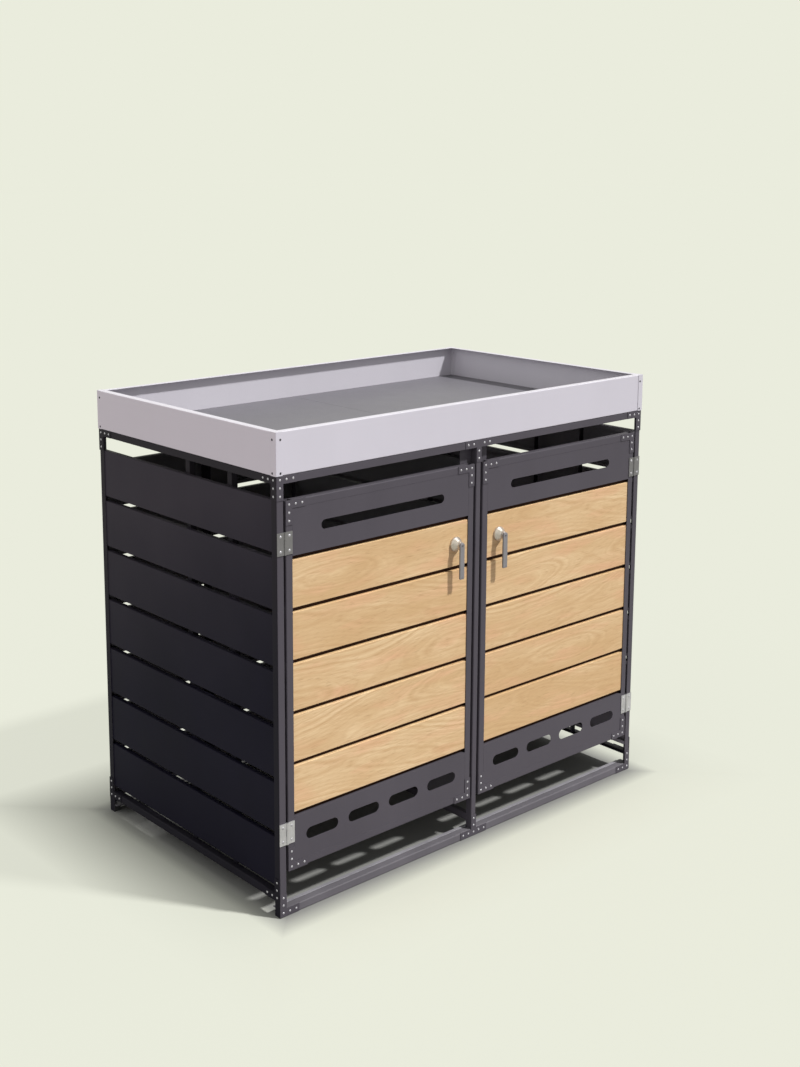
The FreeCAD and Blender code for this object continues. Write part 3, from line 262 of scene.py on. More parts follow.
# %% Shader maths
class Field:
    """A value that varies over a surface, for use in sums such as 1 - mask * 0.5."""

    def __init__(self, wiring, socket):
        self.wiring = wiring
        self.socket = socket

    def math(self, operation, first, second=0.0):
        return self.wiring.node("ShaderNodeMath", {"operation": operation}, {0: first, 1: second})

    def __add__(self, other):
        return self.math("ADD", self, other)

    def __radd__(self, other):
        return self.math("ADD", other, self)

    def __sub__(self, other):
        return self.math("SUBTRACT", self, other)

    def __rsub__(self, other):
        return self.math("SUBTRACT", other, self)

    def __mul__(self, other):
        return self.math("MULTIPLY", self, other)

    def __rmul__(self, other):
        return self.math("MULTIPLY", other, self)

    def __pow__(self, other):
        return self.math("POWER", self, other)

    def __rpow__(self, other):
        return self.math("POWER", other, self)

    def root(self):
        return self.math("SQRT", self)

    def size(self):
        return self.math("ABSOLUTE", self)

    def larger(self, other):
        return self.math("MAXIMUM", self, other)


print("maths by name:", [name for name in vars(Field) if not name.startswith("__")])

# %% [markdown]
# Every other node comes from one method that takes its type, its settings and then its sockets. The
# same method serves the sky at the end, so it sits in a class of its own. A finish adds what only a
# material needs: a place on the object, noise, ranges, blends of two colours, and a bump.

# %% Nodes and finishes
class Wiring:
    """A tree of shader nodes, and the one way in which this script adds a node to it."""

    def __init__(self, tree):
        self.tree = tree

    def node(self, kind, settings=None, sockets=None, output=0):
        """Any node: its type, its settings, then the values or links of its sockets."""
        made = self.tree.nodes.new(kind)
        for name, value in (settings or {}).items():
            setattr(made, name, value)
        for name, value in (sockets or {}).items():
            self.feed(made.inputs[name], value)
        return Field(self, made.outputs[output])

    def feed(self, socket, value):
        """Link a field to a socket, or write a plain value into it."""
        if isinstance(value, Field):
            self.tree.links.new(value.socket, socket)
        else:
            socket.default_value = value


class Finish(Wiring):
    """A material with a Principled shader, and what only a material needs."""

    def __init__(self, name):
        self.material = bpy.data.materials.new(name)
        self.material.use_nodes = True
        super().__init__(self.material.node_tree)
        self.shader = self.tree.nodes["Principled BSDF"]

    def place(self):
        """Object coordinates, which are metres in the row frame."""
        return self.node("ShaderNodeTexCoord", output="Object")

    def part(self, vector, name):
        """One of the three parts of a vector, by the name X, Y or Z."""
        parts = self.node("ShaderNodeSeparateXYZ", sockets={0: vector})
        return Field(self, parts.socket.node.outputs[name])

    def stretched(self, vector, scale, shift=(0, 0, 0)):
        """A vector with its three parts scaled and shifted."""
        return self.node("ShaderNodeMapping", sockets={
            "Vector": vector, "Scale": scale, "Location": shift})

    def noise(self, vector, scale=1.0, detail=2.0, roughness=0.5, distortion=0.0):
        """Soft noise, from 0 to 1 and mostly near the middle."""
        return self.node("ShaderNodeTexNoise", sockets={
            "Vector": vector, "Scale": scale, "Detail": detail, "Roughness": roughness,
            "Distortion": distortion})

    def span(self, value, low, high, to_low=0.0, to_high=1.0):
        """A value stretched from one range onto another, and held at its ends."""
        return self.node("ShaderNodeMapRange", {"clamp": True}, {
            "Value": value, "From Min": low, "From Max": high, "To Min": to_low, "To Max": to_high})

    def blend(self, share, first, second):
        """A colour that goes from the first to the second as the share goes from 0 to 1."""
        return self.node("ShaderNodeMix", {"data_type": "RGBA"}, {0: share, 6: first, 7: second},
                         output=2)

    def set(self, **values):
        """Feed the shader's own sockets, named with _ for a space."""
        for name, value in values.items():
            self.feed(self.shader.inputs[name.replace("_", " ")], value)

    def raise_by(self, height, distance, strength=1.0):
        """Bump the surface by a height field whose full range stands for a distance in metres."""
        self.set(Normal=self.node("ShaderNodeBump", sockets={
            "Height": height, "Distance": distance, "Strength": strength}))


def rgb(red, green, blue):
    """A colour with full cover."""
    return (red, green, blue, 1.0)


print("shader tools ready")

# %% [markdown]
# Powder coat is sprayed as dry dust and melted in an oven, so it isn't a perfect skin: it has the fine
# dimples of orange peel, and its tone drifts a little over a long sheet. The dimples could be modelled,
# but at a fraction of a millimetre they only change how light scatters, so they go into the bump.
# A coat can also turn lighter towards the top and the back of the store, which is painted light: the
# top of a wall is painted brighter than its foot.

# %% A recipe for powder coat
PAINTED_LIGHT_LOW = 0.40
PAINTED_LIGHT_HIGH = 1.00
PAINTED_LIGHT_LEAN = 0.33
PAINTED_LIGHT_DRIFT = 0.3
PAINTED_LIGHT_EASE = 1.6
DUST = 0.002
PEEL_DEEP = 0.00006


def powder_coat(name, colour, roughness, drift=0.06, gloss=0.12, painted_light_above=None):
    """A coloured coat with orange peel, a slow drift of tone and a faint veil of dust.

    With h the height plus PAINTED_LIGHT_LEAN of the distance towards the back, and a slow drift, a
    lighter colour takes over as h goes from PAINTED_LIGHT_LOW to PAINTED_LIGHT_HIGH, slowly at first.
    That lighter colour is painted light.
    """
    coat = Finish(name)
    place = coat.place()
    slow = coat.noise(place, scale=2.3, detail=3.0)
    veil = coat.noise(coat.stretched(place, (9.0, 9.0, 3.0)), detail=4.0, roughness=0.62)
    peel = coat.noise(place, scale=1100.0, detail=1.0)
    grit = coat.noise(place, scale=260.0, detail=2.0)
    dark = rgb(*(part * (1 - drift) for part in colour))
    light = rgb(*(part * (1 + drift) + DUST for part in colour))
    tone = coat.span(slow * 0.6 + veil * 0.4, 0.36, 0.64)
    shade = coat.blend(tone, dark, light)
    # Painted light: the coat turns lighter towards the top and the back.
    if painted_light_above:
        high = coat.part(place, "Z") + coat.part(place, "Y") * PAINTED_LIGHT_LEAN
        high = high + slow * PAINTED_LIGHT_DRIFT - PAINTED_LIGHT_DRIFT / 2
        lit_share = coat.span(high, PAINTED_LIGHT_LOW, PAINTED_LIGHT_HIGH) ** PAINTED_LIGHT_EASE
        shade = coat.blend(lit_share, shade, rgb(*painted_light_above))
    coat.set(Base_Color=shade)
    coat.set(Roughness=coat.span(veil * 0.7 + grit * 0.3, 0.3, 0.7, roughness - 0.06, roughness + 0.07))
    coat.set(Specular_IOR_Level=gloss)
    coat.raise_by(peel * 0.6 + grit * 0.4, PEEL_DEEP, 0.55)
    return coat.material


# Painted light: the side coats are painted lighter from this height up.
print("weathered from", PAINTED_LIGHT_LOW, "m up, and fully at", PAINTED_LIGHT_HIGH, "m")

# %% [markdown]
# The frame is anthracite, and the tray is pale grey with a darker floor. The side walls are a deeper
# anthracite, which is painted shade, and it turns warmer and lighter towards the top, the slats more
# than the frame, which is painted light. Their inner side is a pale grey, painted light inside the bays.
# The outer faces of the tray's side walls are a lighter, warmer grey, painted light too. The rail that
# lies on the ground is a lighter grey, and the hem of its leg is painted bright, a painted highlight of
# its edge.

# %% Powder coats
# The deeper side coats are painted shade, lightened towards the top as painted light.
anthracite = powder_coat("anthracite_coat", (0.084, 0.076, 0.089), 0.48)
slat_painted_shade_and_light = powder_coat("slat_painted_shade_and_light_coat", (0.0088, 0.0078, 0.0175), 0.44, drift=0.14,
                              gloss=0.04, painted_light_above=(0.050, 0.0430, 0.0535))
side_painted_shade_and_light = powder_coat("side_painted_shade_and_light_coat", (0.0185, 0.0170, 0.0235), 0.44, drift=0.12,
                              gloss=0.04, painted_light_above=(0.034, 0.0300, 0.0350))
# The pale inner greys are painted light inside the bays.
inner_painted_light = powder_coat("inner_painted_light_coat", (0.17, 0.165, 0.172), 0.55)
pale_inner_painted_light = powder_coat("pale_inner_painted_light_coat", (0.36, 0.34, 0.365), 0.55)
lighter_rail_coat = powder_coat("lighter_rail_grey_coat", (0.136, 0.127, 0.140), 0.55, drift=0.12)
hem_painted_highlight = powder_coat("hem_painted_highlight_coat", (0.26, 0.25, 0.27), 0.42, drift=0.2, gloss=0.4)
tray_coat = powder_coat("pale_tray_coat", (0.61, 0.585, 0.635), 0.45, drift=0.02, gloss=0.5)
# The tray's side grey is a lighter copy of the tray's grey: painted light.
tray_side_painted_light = powder_coat("pale_tray_side_painted_light_coat", (0.725, 0.66, 0.70), 0.45, drift=0.02, gloss=0.5)
floor_coat = powder_coat("tray_floor_coat", (0.155, 0.148, 0.166), 0.5, drift=0.05, gloss=0.3)
coats = (anthracite, slat_painted_shade_and_light, side_painted_shade_and_light, inner_painted_light, pale_inner_painted_light, lighter_rail_coat,
         hem_painted_highlight, tray_coat, tray_side_painted_light, floor_coat)
print("powder coats:", [coat.name for coat in coats])

# %% [markdown]
# The hinges are zinc plated and still show the lines of the rolling mill, upright on each leaf. The
# upper pair is a darker grey than the lower pair. The roses are turned from a bright metal, whose warm
# tint is a painted reflection of the oak boards round them, and the levers are a darker grey. Rivets are
# small and dull. One recipe serves them all: noise drawn out very long in one direction makes the brush
# lines, and the same lines move the bump, so that colour and relief agree.

# %% Bare metals
ALONG_Z = (900.0, 900.0, 14.0)
NO_GRAIN = (300.0, 300.0, 300.0)
UPPER_FROM = 0.35
UPPER_TO = 0.85
BRUSH_DEEP = 0.00004


def brushed_metal(name, colour, roughness, stretch, metal=1.0, contrast=0.12, upper_colour=None):
    """Metal with fine lines along the direction in which the stretch is small.

    A second colour takes over from the first as the height goes from UPPER_FROM to UPPER_TO.
    """
    finish = Finish(name)
    place = finish.place()
    lines = finish.noise(finish.stretched(place, stretch), detail=3.0, roughness=0.6)
    cloud = finish.noise(place, scale=45.0, detail=3.0)
    tone = finish.span(lines * 0.65 + cloud * 0.35, 0.34, 0.66)
    dark = rgb(*(part * (1 - contrast) for part in colour))
    light = rgb(*(min(part * (1 + contrast), 1.0) for part in colour))
    shade = finish.blend(tone, dark, light)
    if upper_colour:
        darker = rgb(*(part * (1 - contrast) for part in upper_colour))
        high = finish.span(finish.part(place, "Z"), UPPER_FROM, UPPER_TO)
        shade = finish.blend(high, shade, finish.blend(tone, darker, rgb(*upper_colour)))
    finish.set(Base_Color=shade, Metallic=metal)
    finish.set(Roughness=finish.span(cloud, 0.3, 0.7, roughness - 0.05, roughness + 0.08))
    finish.raise_by(lines, BRUSH_DEEP, 0.5)
    return finish.material


zinc = brushed_metal("zinc_plate", (0.52, 0.51, 0.53), 0.42, ALONG_Z, metal=0.7, contrast=0.2,
                     upper_colour=(0.24, 0.232, 0.242))
# The rose's warm tint is a painted reflection of the oak boards.
rose_metal_painted_reflection = brushed_metal("satin_rose_metal_painted_reflection", (0.56, 0.50, 0.45), 0.30, NO_GRAIN, metal=0.7,
                            contrast=0.1)
lever_metal = brushed_metal("grey_lever_metal", (0.25, 0.24, 0.255), 0.42, ALONG_Z, metal=0.4,
                            contrast=0.1)
rivet_metal = brushed_metal("dull_rivet_metal", (0.46, 0.45, 0.48), 0.45, NO_GRAIN, metal=0.5)
dark_rivet = powder_coat("dark_tray_rivets", (0.05, 0.048, 0.052), 0.45)
print("metals:", zinc.name, rose_metal_painted_reflection.name, lever_metal.name, rivet_metal.name)

# %% [markdown]
# The feet are moulded plastic. Mould makers etch such tools with a fine grain so that scuffs don't
# show, and that is all the detail that a black foot has.

# %% Moulded plastic
ETCHED_DEEP = 0.00008


def moulded_plastic(name, colour, roughness):
    """Plastic with the fine etched grain of its mould."""
    finish = Finish(name)
    place = finish.place()
    grain = finish.noise(place, scale=700.0, detail=2.0)
    scuff = finish.noise(place, scale=60.0, detail=4.0, roughness=0.7)
    worn = rgb(*(part * 2.2 for part in colour))
    finish.set(Base_Color=finish.blend(finish.span(scuff, 0.5, 0.75), rgb(*colour), worn))
    finish.set(Roughness=finish.span(scuff, 0.3, 0.7, roughness - 0.08, roughness + 0.08))
    finish.raise_by(grain, ETCHED_DEEP, 0.7)
    return finish.material


foot_plastic = moulded_plastic("black_foot_plastic", (0.016, 0.016, 0.017), 0.6)
print("plastic:", foot_plastic.name)

# %% [markdown]
# Oak boards are sawn along a log. Where the saw passes close to the heart, the growth rings come out as
# long arches, and away from it as near-straight lines. A stripe pattern would do for a veneer print,
# but to get arches that differ on each board, the material works out the real thing: the distance from
# the log's wandering heart, cut into rings. Each board carries its own place in the log as an
# attribute, so no two boards look alike and the grain runs round their edges.

# %% Oak
GRAIN_DEEP = 0.00022


def oak_boards(name):
    """Light oak: rings round a wandering heart, wavy streaks, fine fibres, pores and a tone per board.

    With g the board's own coordinates, the distance from the heart is the square root of
    (g.y + depth)^2 + (g.z + drift)^2, where depth and drift wander slowly along the board. Noise of that
    distance alone gives rings of uneven width, as good and bad summers leave them.
    """
    oak = Finish(name)
    grain = oak.node("ShaderNodeAttribute", {"attribute_name": "grain"}, output="Vector")
    tone = oak.node("ShaderNodeAttribute", {"attribute_name": "tone"}, output="Fac")
    inwards, across = oak.part(grain, "Y"), oak.part(grain, "Z")
    slow = oak.noise(oak.stretched(grain, (1.7, 0.0, 0.0)), detail=1.0)
    slower = oak.noise(oak.stretched(grain, (1.2, 0.0, 0.0), (7.3, 2.0, 0.0)), detail=0.0)
    ripple = oak.noise(oak.stretched(grain, (14.0, 45.0, 45.0)), detail=3.0)
    depth = oak.span(slow, 0.25, 0.75, 0.004, 0.075)
    drift = oak.span(slower, 0.25, 0.75, -0.075, 0.075)
    heart_in = inwards + depth
    heart_across = across + drift
    reach = (heart_in * heart_in + heart_across * heart_across).root() + ripple * 0.009
    rings = oak.node("ShaderNodeTexNoise", {"noise_dimensions": "1D"}, {
        "W": reach, "Scale": 150.0, "Detail": 2.0, "Roughness": 0.6})
    streak = oak.noise(oak.stretched(grain, (9.0, 150.0, 150.0)), detail=3.0, roughness=0.6,
                       distortion=0.8)
    fibre = oak.noise(oak.stretched(grain, (16.0, 520.0, 520.0)), detail=4.0, roughness=0.62)
    pores = oak.span(oak.noise(oak.stretched(grain, (34.0, 620.0, 620.0)), detail=1.0), 0.60, 0.74)
    patch = oak.noise(oak.stretched(grain, (3.6, 14.0, 14.0)), detail=2.0, roughness=0.55)
    flame = oak.noise(oak.stretched(grain, (5.0, 22.0, 22.0), (3.1, 0.0, 8.4)), detail=2.0)
    pale = rgb(0.80, 0.595, 0.345)
    honey = rgb(0.59, 0.375, 0.185)
    pink = rgb(0.775, 0.455, 0.265)
    tan = rgb(0.665, 0.450, 0.230)
    brown = rgb(0.35, 0.175, 0.070)
    mark = oak.span(rings * 0.52 + streak * 0.34 + fibre * 0.32, 0.46, 0.76)
    colour = oak.blend(oak.span(patch * 0.7 + tone * 0.3, 0.36, 0.62), pale, tan)
    colour = oak.blend(oak.span(flame, 0.50, 0.72) * 0.8, colour, pink)
    colour = oak.blend(mark * 0.85, colour, honey)
    colour = oak.blend(pores * 0.34, colour, brown)
    oak.set(Base_Color=colour, Specular_IOR_Level=0.25)
    oak.set(Roughness=oak.span(fibre, 0.3, 0.7, 0.52, 0.68))
    oak.raise_by(fibre * 0.6 - pores * 0.5 + rings * 0.15, GRAIN_DEEP, 0.55)
    return oak.material


oak = oak_boards("light_oak")
print("wood:", oak.name)

# %% [markdown]
# Corner posts are plain angles with their heel at the store's outer corner, and they stand on small
# plastic feet. The two centre posts are channels, open towards the inside. Each gets a folded section
# in the place of its node. The flange that looks sideways has the deeper coat of the side walls, which
# is painted shade.

# %% Posts
def angle_path(low, high, heel_right, heel_back, lefthand):
    """The outer face of an angle in plan, from one flange's edge over the heel to the other's."""
    x_heel, x_edge = (high[0], low[0]) if heel_right else (low[0], high[0])
    y_heel, y_edge = (high[1], low[1]) if heel_back else (low[1], high[1])
    path = [(x_edge, y_heel), (x_heel, y_heel), (x_heel, y_edge)]
    return path if lefthand else path[::-1]


for end, heel_back in (("front", False), ("back", True)):
    for side, sign in SIDES.items():
        node = f"{end}_{side}_post"
        low, high = limits(node)
        heel_right = sign > 0
        path = angle_path(low, high, heel_right, heel_back, heel_right != heel_back)
        section = folded(path, GAUGE)
        piece = make_piece(node + "_folded", [bar(section, "z", low[2], high[2])], "frame",
                           anthracite, [node])
        # Faces that look sideways get the deeper coat: painted shade.
        coat_facing(piece, side_painted_shade_and_light, 0)
    node = f"{end}_centre_post"
    low, high = limits(node)
    y_web, y_edge = (high[1], low[1]) if heel_back else (low[1], high[1])
    path = [(low[0], y_edge), (low[0], y_web), (high[0], y_web), (high[0], y_edge)]
    section = folded(path[::-1] if heel_back else path, GAUGE)
    make_piece(node + "_folded", [bar(section, "z", low[2], high[2])], "frame",
               anthracite, [node])
print("posts: 6")

# %% [markdown]
# Rails are angles too. On the front and back their upright flange stops at the posts, while the flat
# leg runs on behind them, and along each bottom rail the leg's rear edge is folded back on itself,
# which is the bright line that runs along the sill. That hem could be part of the section, but its
# brightness is a painted highlight, so it is a strip of its own with its own coat.

# %% Front and back rails
HEM_DEEP = 0.0105
HEM_THICK = 0.0015
HEM_ROUND = 0.45 * HEM_THICK


def face_rail(node, inward, hem, finish):
    """A front or back rail: an angle between the posts, its leg's two ends, and the hem."""
    low, high = limits(node)
    y_face, y_far = (low[1], high[1]) if inward > 0 else (high[1], low[1])
    top = high[2] - (HEM_THICK if hem else 0.0)
    start = low[0] + LEG - GAUGE
    end = high[0] - LEG + GAUGE
    path = [(y_far, top), (y_face, top), (y_face, low[2])]
    section = folded(path if inward > 0 else path[::-1], GAUGE)
    bars = [bar(section, "x", start, end)]
    y_leg = sorted((y_face + inward * GAUGE, y_far))
    leg = rectangle((y_leg[0], top - GAUGE), (y_leg[1], top))
    bars += [bar(leg, "x", low[0], start), bar(leg, "x", end, high[0])]
    if hem:
        y_hem = sorted((y_far - inward * HEM_DEEP, y_far))
        strip = rectangle((y_hem[0], top), (y_hem[1], high[2]), HEM_ROUND)
        # The hem's light coat is a painted highlight.
        make_piece(node + "_hem", [bar(strip, "x", start, end)], "frame", hem_painted_highlight, [])
    make_piece(node + "_folded", bars, "frame", finish, [node])


face_rail("front_top_rail", 1, False, anthracite)
face_rail("back_top_rail", -1, False, anthracite)
face_rail("front_bottom_rail", 1, True, lighter_rail_coat)
face_rail("back_bottom_rail", -1, True, lighter_rail_coat)
print("face rails: 4")

# %% [markdown]
# The side rails run between the corner posts, and where a rail's leg goes on in front of that, a flat
# strip carries it there. Across the middle, one channel under the tray and one near the ground run
# from front to back, both open below.

# %% Side and middle rails
posts_y = (limits("front_left_post")[1][1], limits("back_left_post")[0][1])
for node in ("side_top_rails", "side_bottom_rails"):
    low, high = limits(node)
    bars = []
    for sign in SIDES.values():
        x_face = sign * high[0]
        x_far = sign * (high[0] - LEG)
        path = [(x_far, high[2]), (x_face, high[2]), (x_face, low[2])]
        section = folded(path if sign < 0 else path[::-1], GAUGE)
        bars.append(bar(section, "y", *posts_y))
        x_leg = sorted((x_face - sign * GAUGE, x_far))
        leg = rectangle((x_leg[0], high[2] - GAUGE), (x_leg[1], high[2]))
        if low[1] < posts_y[0] - PLAY:
            bars.append(bar(leg, "y", low[1], posts_y[0]))
    # The side rails take the deeper coat: painted shade.
    make_piece(node + "_folded", bars, "frame", side_painted_shade_and_light, [node])

for node in ("centre_top_rail", "centre_bottom_rail"):
    low, high = limits(node)
    path = [(low[0], low[2]), (low[0], high[2]), (high[0], high[2]), (high[0], low[2])]
    section = folded(path[::-1], GAUGE)
    make_piece(node + "_folded", [bar(section, "y", low[1], high[1])], "frame",
               anthracite, [node])
print("side and middle rails: 4 nodes")

# %% [markdown]
# A wall slat is a shallow tray of thin sheet: its face is folded back at both edges and turned in once
# more behind, so that no raw edge can be touched. Seven of them fill a wall, and the height of each is
# known from the wall's height and the gap between two. What looks into the bays is a pale grey, which is
# painted light inside the bays.

# %% Wall slats
SLAT_COUNT = 7
SLAT_GAP = 0.014
SLAT_LIP = 0.012


def slat_levels(low, high):
    """Lower and upper edge of every slat in a wall."""
    slat = (high - low - SLAT_GAP * (SLAT_COUNT - 1)) / SLAT_COUNT
    starts = low + np.arange(SLAT_COUNT) * (slat + SLAT_GAP)
    return [(start, start + slat) for start in starts]


def slat_section(outer, rear, low, high, lefthand):
    """A slat seen end on: lip, edge, face, edge and lip."""
    path = [(rear, high - SLAT_LIP), (rear, high), (outer, high), (outer, low), (rear, low),
            (rear, low + SLAT_LIP)]
    return folded(path if lefthand else path[::-1], SLAT_SHEET)


def slat_wall(node, outer_is_low, axis, spans):
    """All the slats of one wall, made as one piece. The axis is the direction in which they run."""
    low, high = limits(node)
    depth_axis = 0 if axis == "y" else 1
    outer, rear = low[depth_axis], high[depth_axis]
    if not outer_is_low:
        outer, rear = rear, outer
    bars = []
    for bottom, top in slat_levels(low[2], high[2]):
        section = slat_section(outer, rear, bottom, top, outer_is_low)
        bars += [bar(section, axis, start, end) for start, end in spans]
    return make_piece(node + "_folded", bars, "frame", slat_painted_shade_and_light, [node])


for node, outer_is_low in (("left_wall_slats", True), ("right_wall_slats", False),
                           ("partition_slats", True)):
    low, high = limits(node)
    wall = slat_wall(node, outer_is_low, "y", [(low[1], high[1])])
    # The faces inside the bays are painted a pale grey: painted light.
    if node == "partition_slats":
        wall.data.materials[0] = inner_painted_light
    else:
        coat_facing(wall, pale_inner_painted_light, 0, outwards=False)
back_low, back_high = limits("back_wall_slats")
post_half = limits("back_centre_post")[1][0] + PLAY
wall = slat_wall("back_wall_slats", False, "x", [(back_low[0], -post_half), (post_half, back_high[0])])
coat_facing(wall, inner_painted_light, 1, outwards=False)
print("slats:", (2 + 1 + 2) * SLAT_COUNT, "in two sides, a partition and two bays of the back")

# %% [markdown]
# The tray is made of four walls. The side walls are folded round onto the front and the back, where a
# narrow strip of each shows, and every wall has a lip turned in at its top and its bottom. The folded
# top edge is the brightest line of the whole store, because it looks at the sky.

# %% Planter tray
WIDE = limits("tray_right_wall")[1][0]
TRAY_Y = (limits("tray_left_wall")[0][1], limits("tray_left_wall")[1][1])
TRAY_Z = (tray_low[2], limits("tray_front_wall")[1][2])
TRAY_BEND = 0.0009

for end, inward, outer in (("front", 1, TRAY_Y[0]), ("back", -1, TRAY_Y[1])):
    node = f"tray_{end}_wall"
    y_face = outer + inward * TRAY_SHEET
    y_lip = outer + inward * TRAY_LIP
    x_lip = WIDE - 2 * TRAY_SHEET
    path = [(y_lip, TRAY_Z[1]), (y_face, TRAY_Z[1]), (y_face, TRAY_Z[0]), (y_lip, TRAY_Z[0])]
    bars = [bar(folded(path if inward > 0 else path[::-1], TRAY_SHEET, TRAY_BEND), "x", -x_lip, x_lip)]
    for sign in SIDES.values():
        x_tab = sign * (WIDE - TRAY_SHEET)
        path = [(sign * (x_lip - TRAY_SHEET), y_face), (x_tab, y_face), (x_tab, y_lip)]
        section = folded(path if sign * inward > 0 else path[::-1], TRAY_SHEET, TRAY_BEND)
        bars.append(bar(section, "z", *TRAY_Z))
    make_piece(node + "_folded", bars, "frame", tray_coat, [node])

for side, sign in SIDES.items():
    node = f"tray_{side}_wall"
    x_face = sign * WIDE
    x_lip = sign * (WIDE - TRAY_LIP)
    inner_y = (TRAY_Y[0] + TRAY_LIP + PLAY, TRAY_Y[1] - TRAY_LIP - PLAY)
    path = [(x_lip, TRAY_Z[1]), (x_face, TRAY_Z[1]), (x_face, TRAY_Z[0]), (x_lip, TRAY_Z[0])]
    section = folded(path if sign < 0 else path[::-1], TRAY_SHEET, TRAY_BEND)
    bars = [bar(section, "y", *inner_y)]
    for outer, inner in ((TRAY_Y[0], inner_y[0]), (TRAY_Y[1], inner_y[1])):
        path = [(x_lip, outer), (x_face, outer), (x_face, inner)]
        leftwards = (sign > 0) == (outer < inner)
        bars.append(bar(folded(path if leftwards else path[::-1], TRAY_SHEET, TRAY_BEND), "z", *TRAY_Z))
    piece = make_piece(node + "_folded", bars, "frame", tray_coat, [node])
    # The outer faces of the side walls take a lighter, warmer grey: painted light.
    coat_facing(piece, tray_side_painted_light, 0)
print("tray:", [round(2 * WIDE, 4), round(TRAY_Y[1] - TRAY_Y[0], 4), round(TRAY_Z[1] - TRAY_Z[0], 4)])

# %% [markdown]
# A door is a frame of two folded channels and two angles. The channels hold the ends of the boards and
# of the slotted panels, which slide in between their flanges.

# %% Door frames
for side, sign in SIDES.items():
    door = side + "_door"
    for part, web_outside in (("hinge_stile", True), ("free_stile", False)):
        node = f"{door}_{part}"
        low, high = limits(node)
        x_web, x_edge = (high[0], low[0]) if web_outside == (sign > 0) else (low[0], high[0])
        path = [(x_edge, low[1]), (x_web, low[1]), (x_web, high[1]), (x_edge, high[1])]
        section = folded(path if x_web > x_edge else path[::-1], GAUGE)
        make_piece(node + "_folded", [bar(section, "z", low[2], high[2])], door,
                   anthracite, [node])
    node = door + "_rails"
    low, high = limits(node)
    flange_x = (low[0] + LEG - GAUGE, high[0] - LEG + GAUGE)
    bars = []
    for z_heel, z_edge in ((high[2], high[2] - LEG), (low[2], low[2] + LEG)):
        path = [(high[1], z_heel), (low[1], z_heel), (low[1], z_edge)]
        section = folded(path if z_heel > z_edge else path[::-1], GAUGE)
        bars.append(bar(section, "x", *flange_x))
    make_piece(node + "_folded", bars, door, anthracite, [node])
print("door frames: 2")

# %% [markdown]
# Each door has five boards, planed smooth with their long edges eased by hand. A cube with a bevel
# would give the shape, but then the grain would have nothing to follow. So each board is a bar with
# rounded corners that also carries its own place in the log: along the grain, into the wood and across
# it, and a tone of its own. No light comes through the gaps, so a thin tongue closes each one, so deep
# that the sun doesn't reach it, and it is painted a very dark brown, which is painted shade. That paint
# is as matt and as even as a coat, so the recipe for coats serves it too.

# %% Oak boards
BOARD_COUNT = 5
BOARD_GAP = 0.011
EASED_EDGE = 0.0019
TONGUE = (0.0090, 0.0125)
LOG_LENGTH = 9
FACE_IN_LOG = 0.002
TONES = (0.2, 0.8)
# The tongues' near-black brown is painted shade in the gaps.
tongue_painted_shade = powder_coat("tongue_painted_shade_wood", (0.032, 0.012, 0.005), 0.7, drift=0.15)
dice = np.random.default_rng(18597)


def board_levels(low, high):
    """Lower and upper edge of every board in a door."""
    board = (high - low - BOARD_GAP * (BOARD_COUNT - 1)) / BOARD_COUNT
    starts = low + np.arange(BOARD_COUNT) * (board + BOARD_GAP)
    return [(start, start + board) for start in starts]


for side in SIDES:
    node = side + "_door_boards"
    low, high = limits(node)
    bars = []
    grains = []
    tones = []
    tongues = []
    for bottom, top in board_levels(low[2], high[2]):
        section = rectangle((low[1], bottom), (high[1], top), EASED_EDGE)
        board = bar(section, "x", low[0], high[0])
        along = dice.uniform(-LOG_LENGTH, LOG_LENGTH)
        heart = np.array([along, FACE_IN_LOG - low[1], -(bottom + top) / 2])
        bars.append(board)
        grains.append(board[0] + heart)
        tones.append(np.full(len(board[0]), dice.uniform(*TONES)))
        for end in [bottom - BOARD_GAP + PLAY] + ([top] if top > high[2] - PLAY else []):
            tongue = rectangle((low[1] + TONGUE[0], end), (low[1] + TONGUE[1], end + BOARD_GAP - PLAY))
            tongues.append(bar(tongue, "x", low[0], high[0]))
    make_piece(node + "_tongues", tongues, side + "_door", tongue_painted_shade, [])
    piece = make_piece(node + "_planed", bars, side + "_door", oak, [node])
    own = piece.data.attributes
    own.new("grain", "FLOAT_VECTOR", "POINT").data.foreach_set("vector", np.vstack(grains).ravel())
    own.new("tone", "FLOAT", "POINT").data.foreach_set("value", np.concatenate(tones))
    print(node, [round(float(tone[0]), 2) for tone in tones])

# %% [markdown]
# A lock shows three things: a turned rose on the board, a flat lever that hangs from it, round at the
# top and square below, and the head of the screw that holds the lever, with its dark socket. All three
# have one build: an outline seen from the front, and a profile that says how far the outline has moved
# in at each depth. A circle and a cone's profile give the rose, and the lever's outline and an eased
# edge give the lever. The profile comes first: each of its corners is eased by a parabola that starts
# and ends a set way from it, and the parabola's own slope gives the normals, so that the light rolls
# over the edge.

# %% Eased profiles
EASE_STEPS = np.linspace(0, 1, 6)[:, None]


def eased(corners, easing):
    """Points and directions of a profile whose inner corners are parabolas.

    Round a corner P, from A to C, the curve is (1 - t)^2 A + 2 t (1 - t) P + t^2 C, and its direction is
    (1 - t) (P - A) + t (C - P).
    """
    corners = np.array(corners, float)
    run = unit(np.diff(corners, axis=0))
    points = [corners[:1]]
    directions = [run[:1]]
    for corner, before, after, ease in zip(corners[1:-1], run[:-1], run[1:], easing):
        t = EASE_STEPS
        points.append((1 - t) ** 2 * (corner - ease * before) + 2 * t * (1 - t) * corner
                      + t ** 2 * (corner + ease * after))
        directions.append(unit((1 - t) * before + t * after))
    points.append(corners[-1:])
    directions.append(run[-1:])
    return np.vstack(points), np.vstack(directions)


print("points in one eased corner:", len(EASE_STEPS))

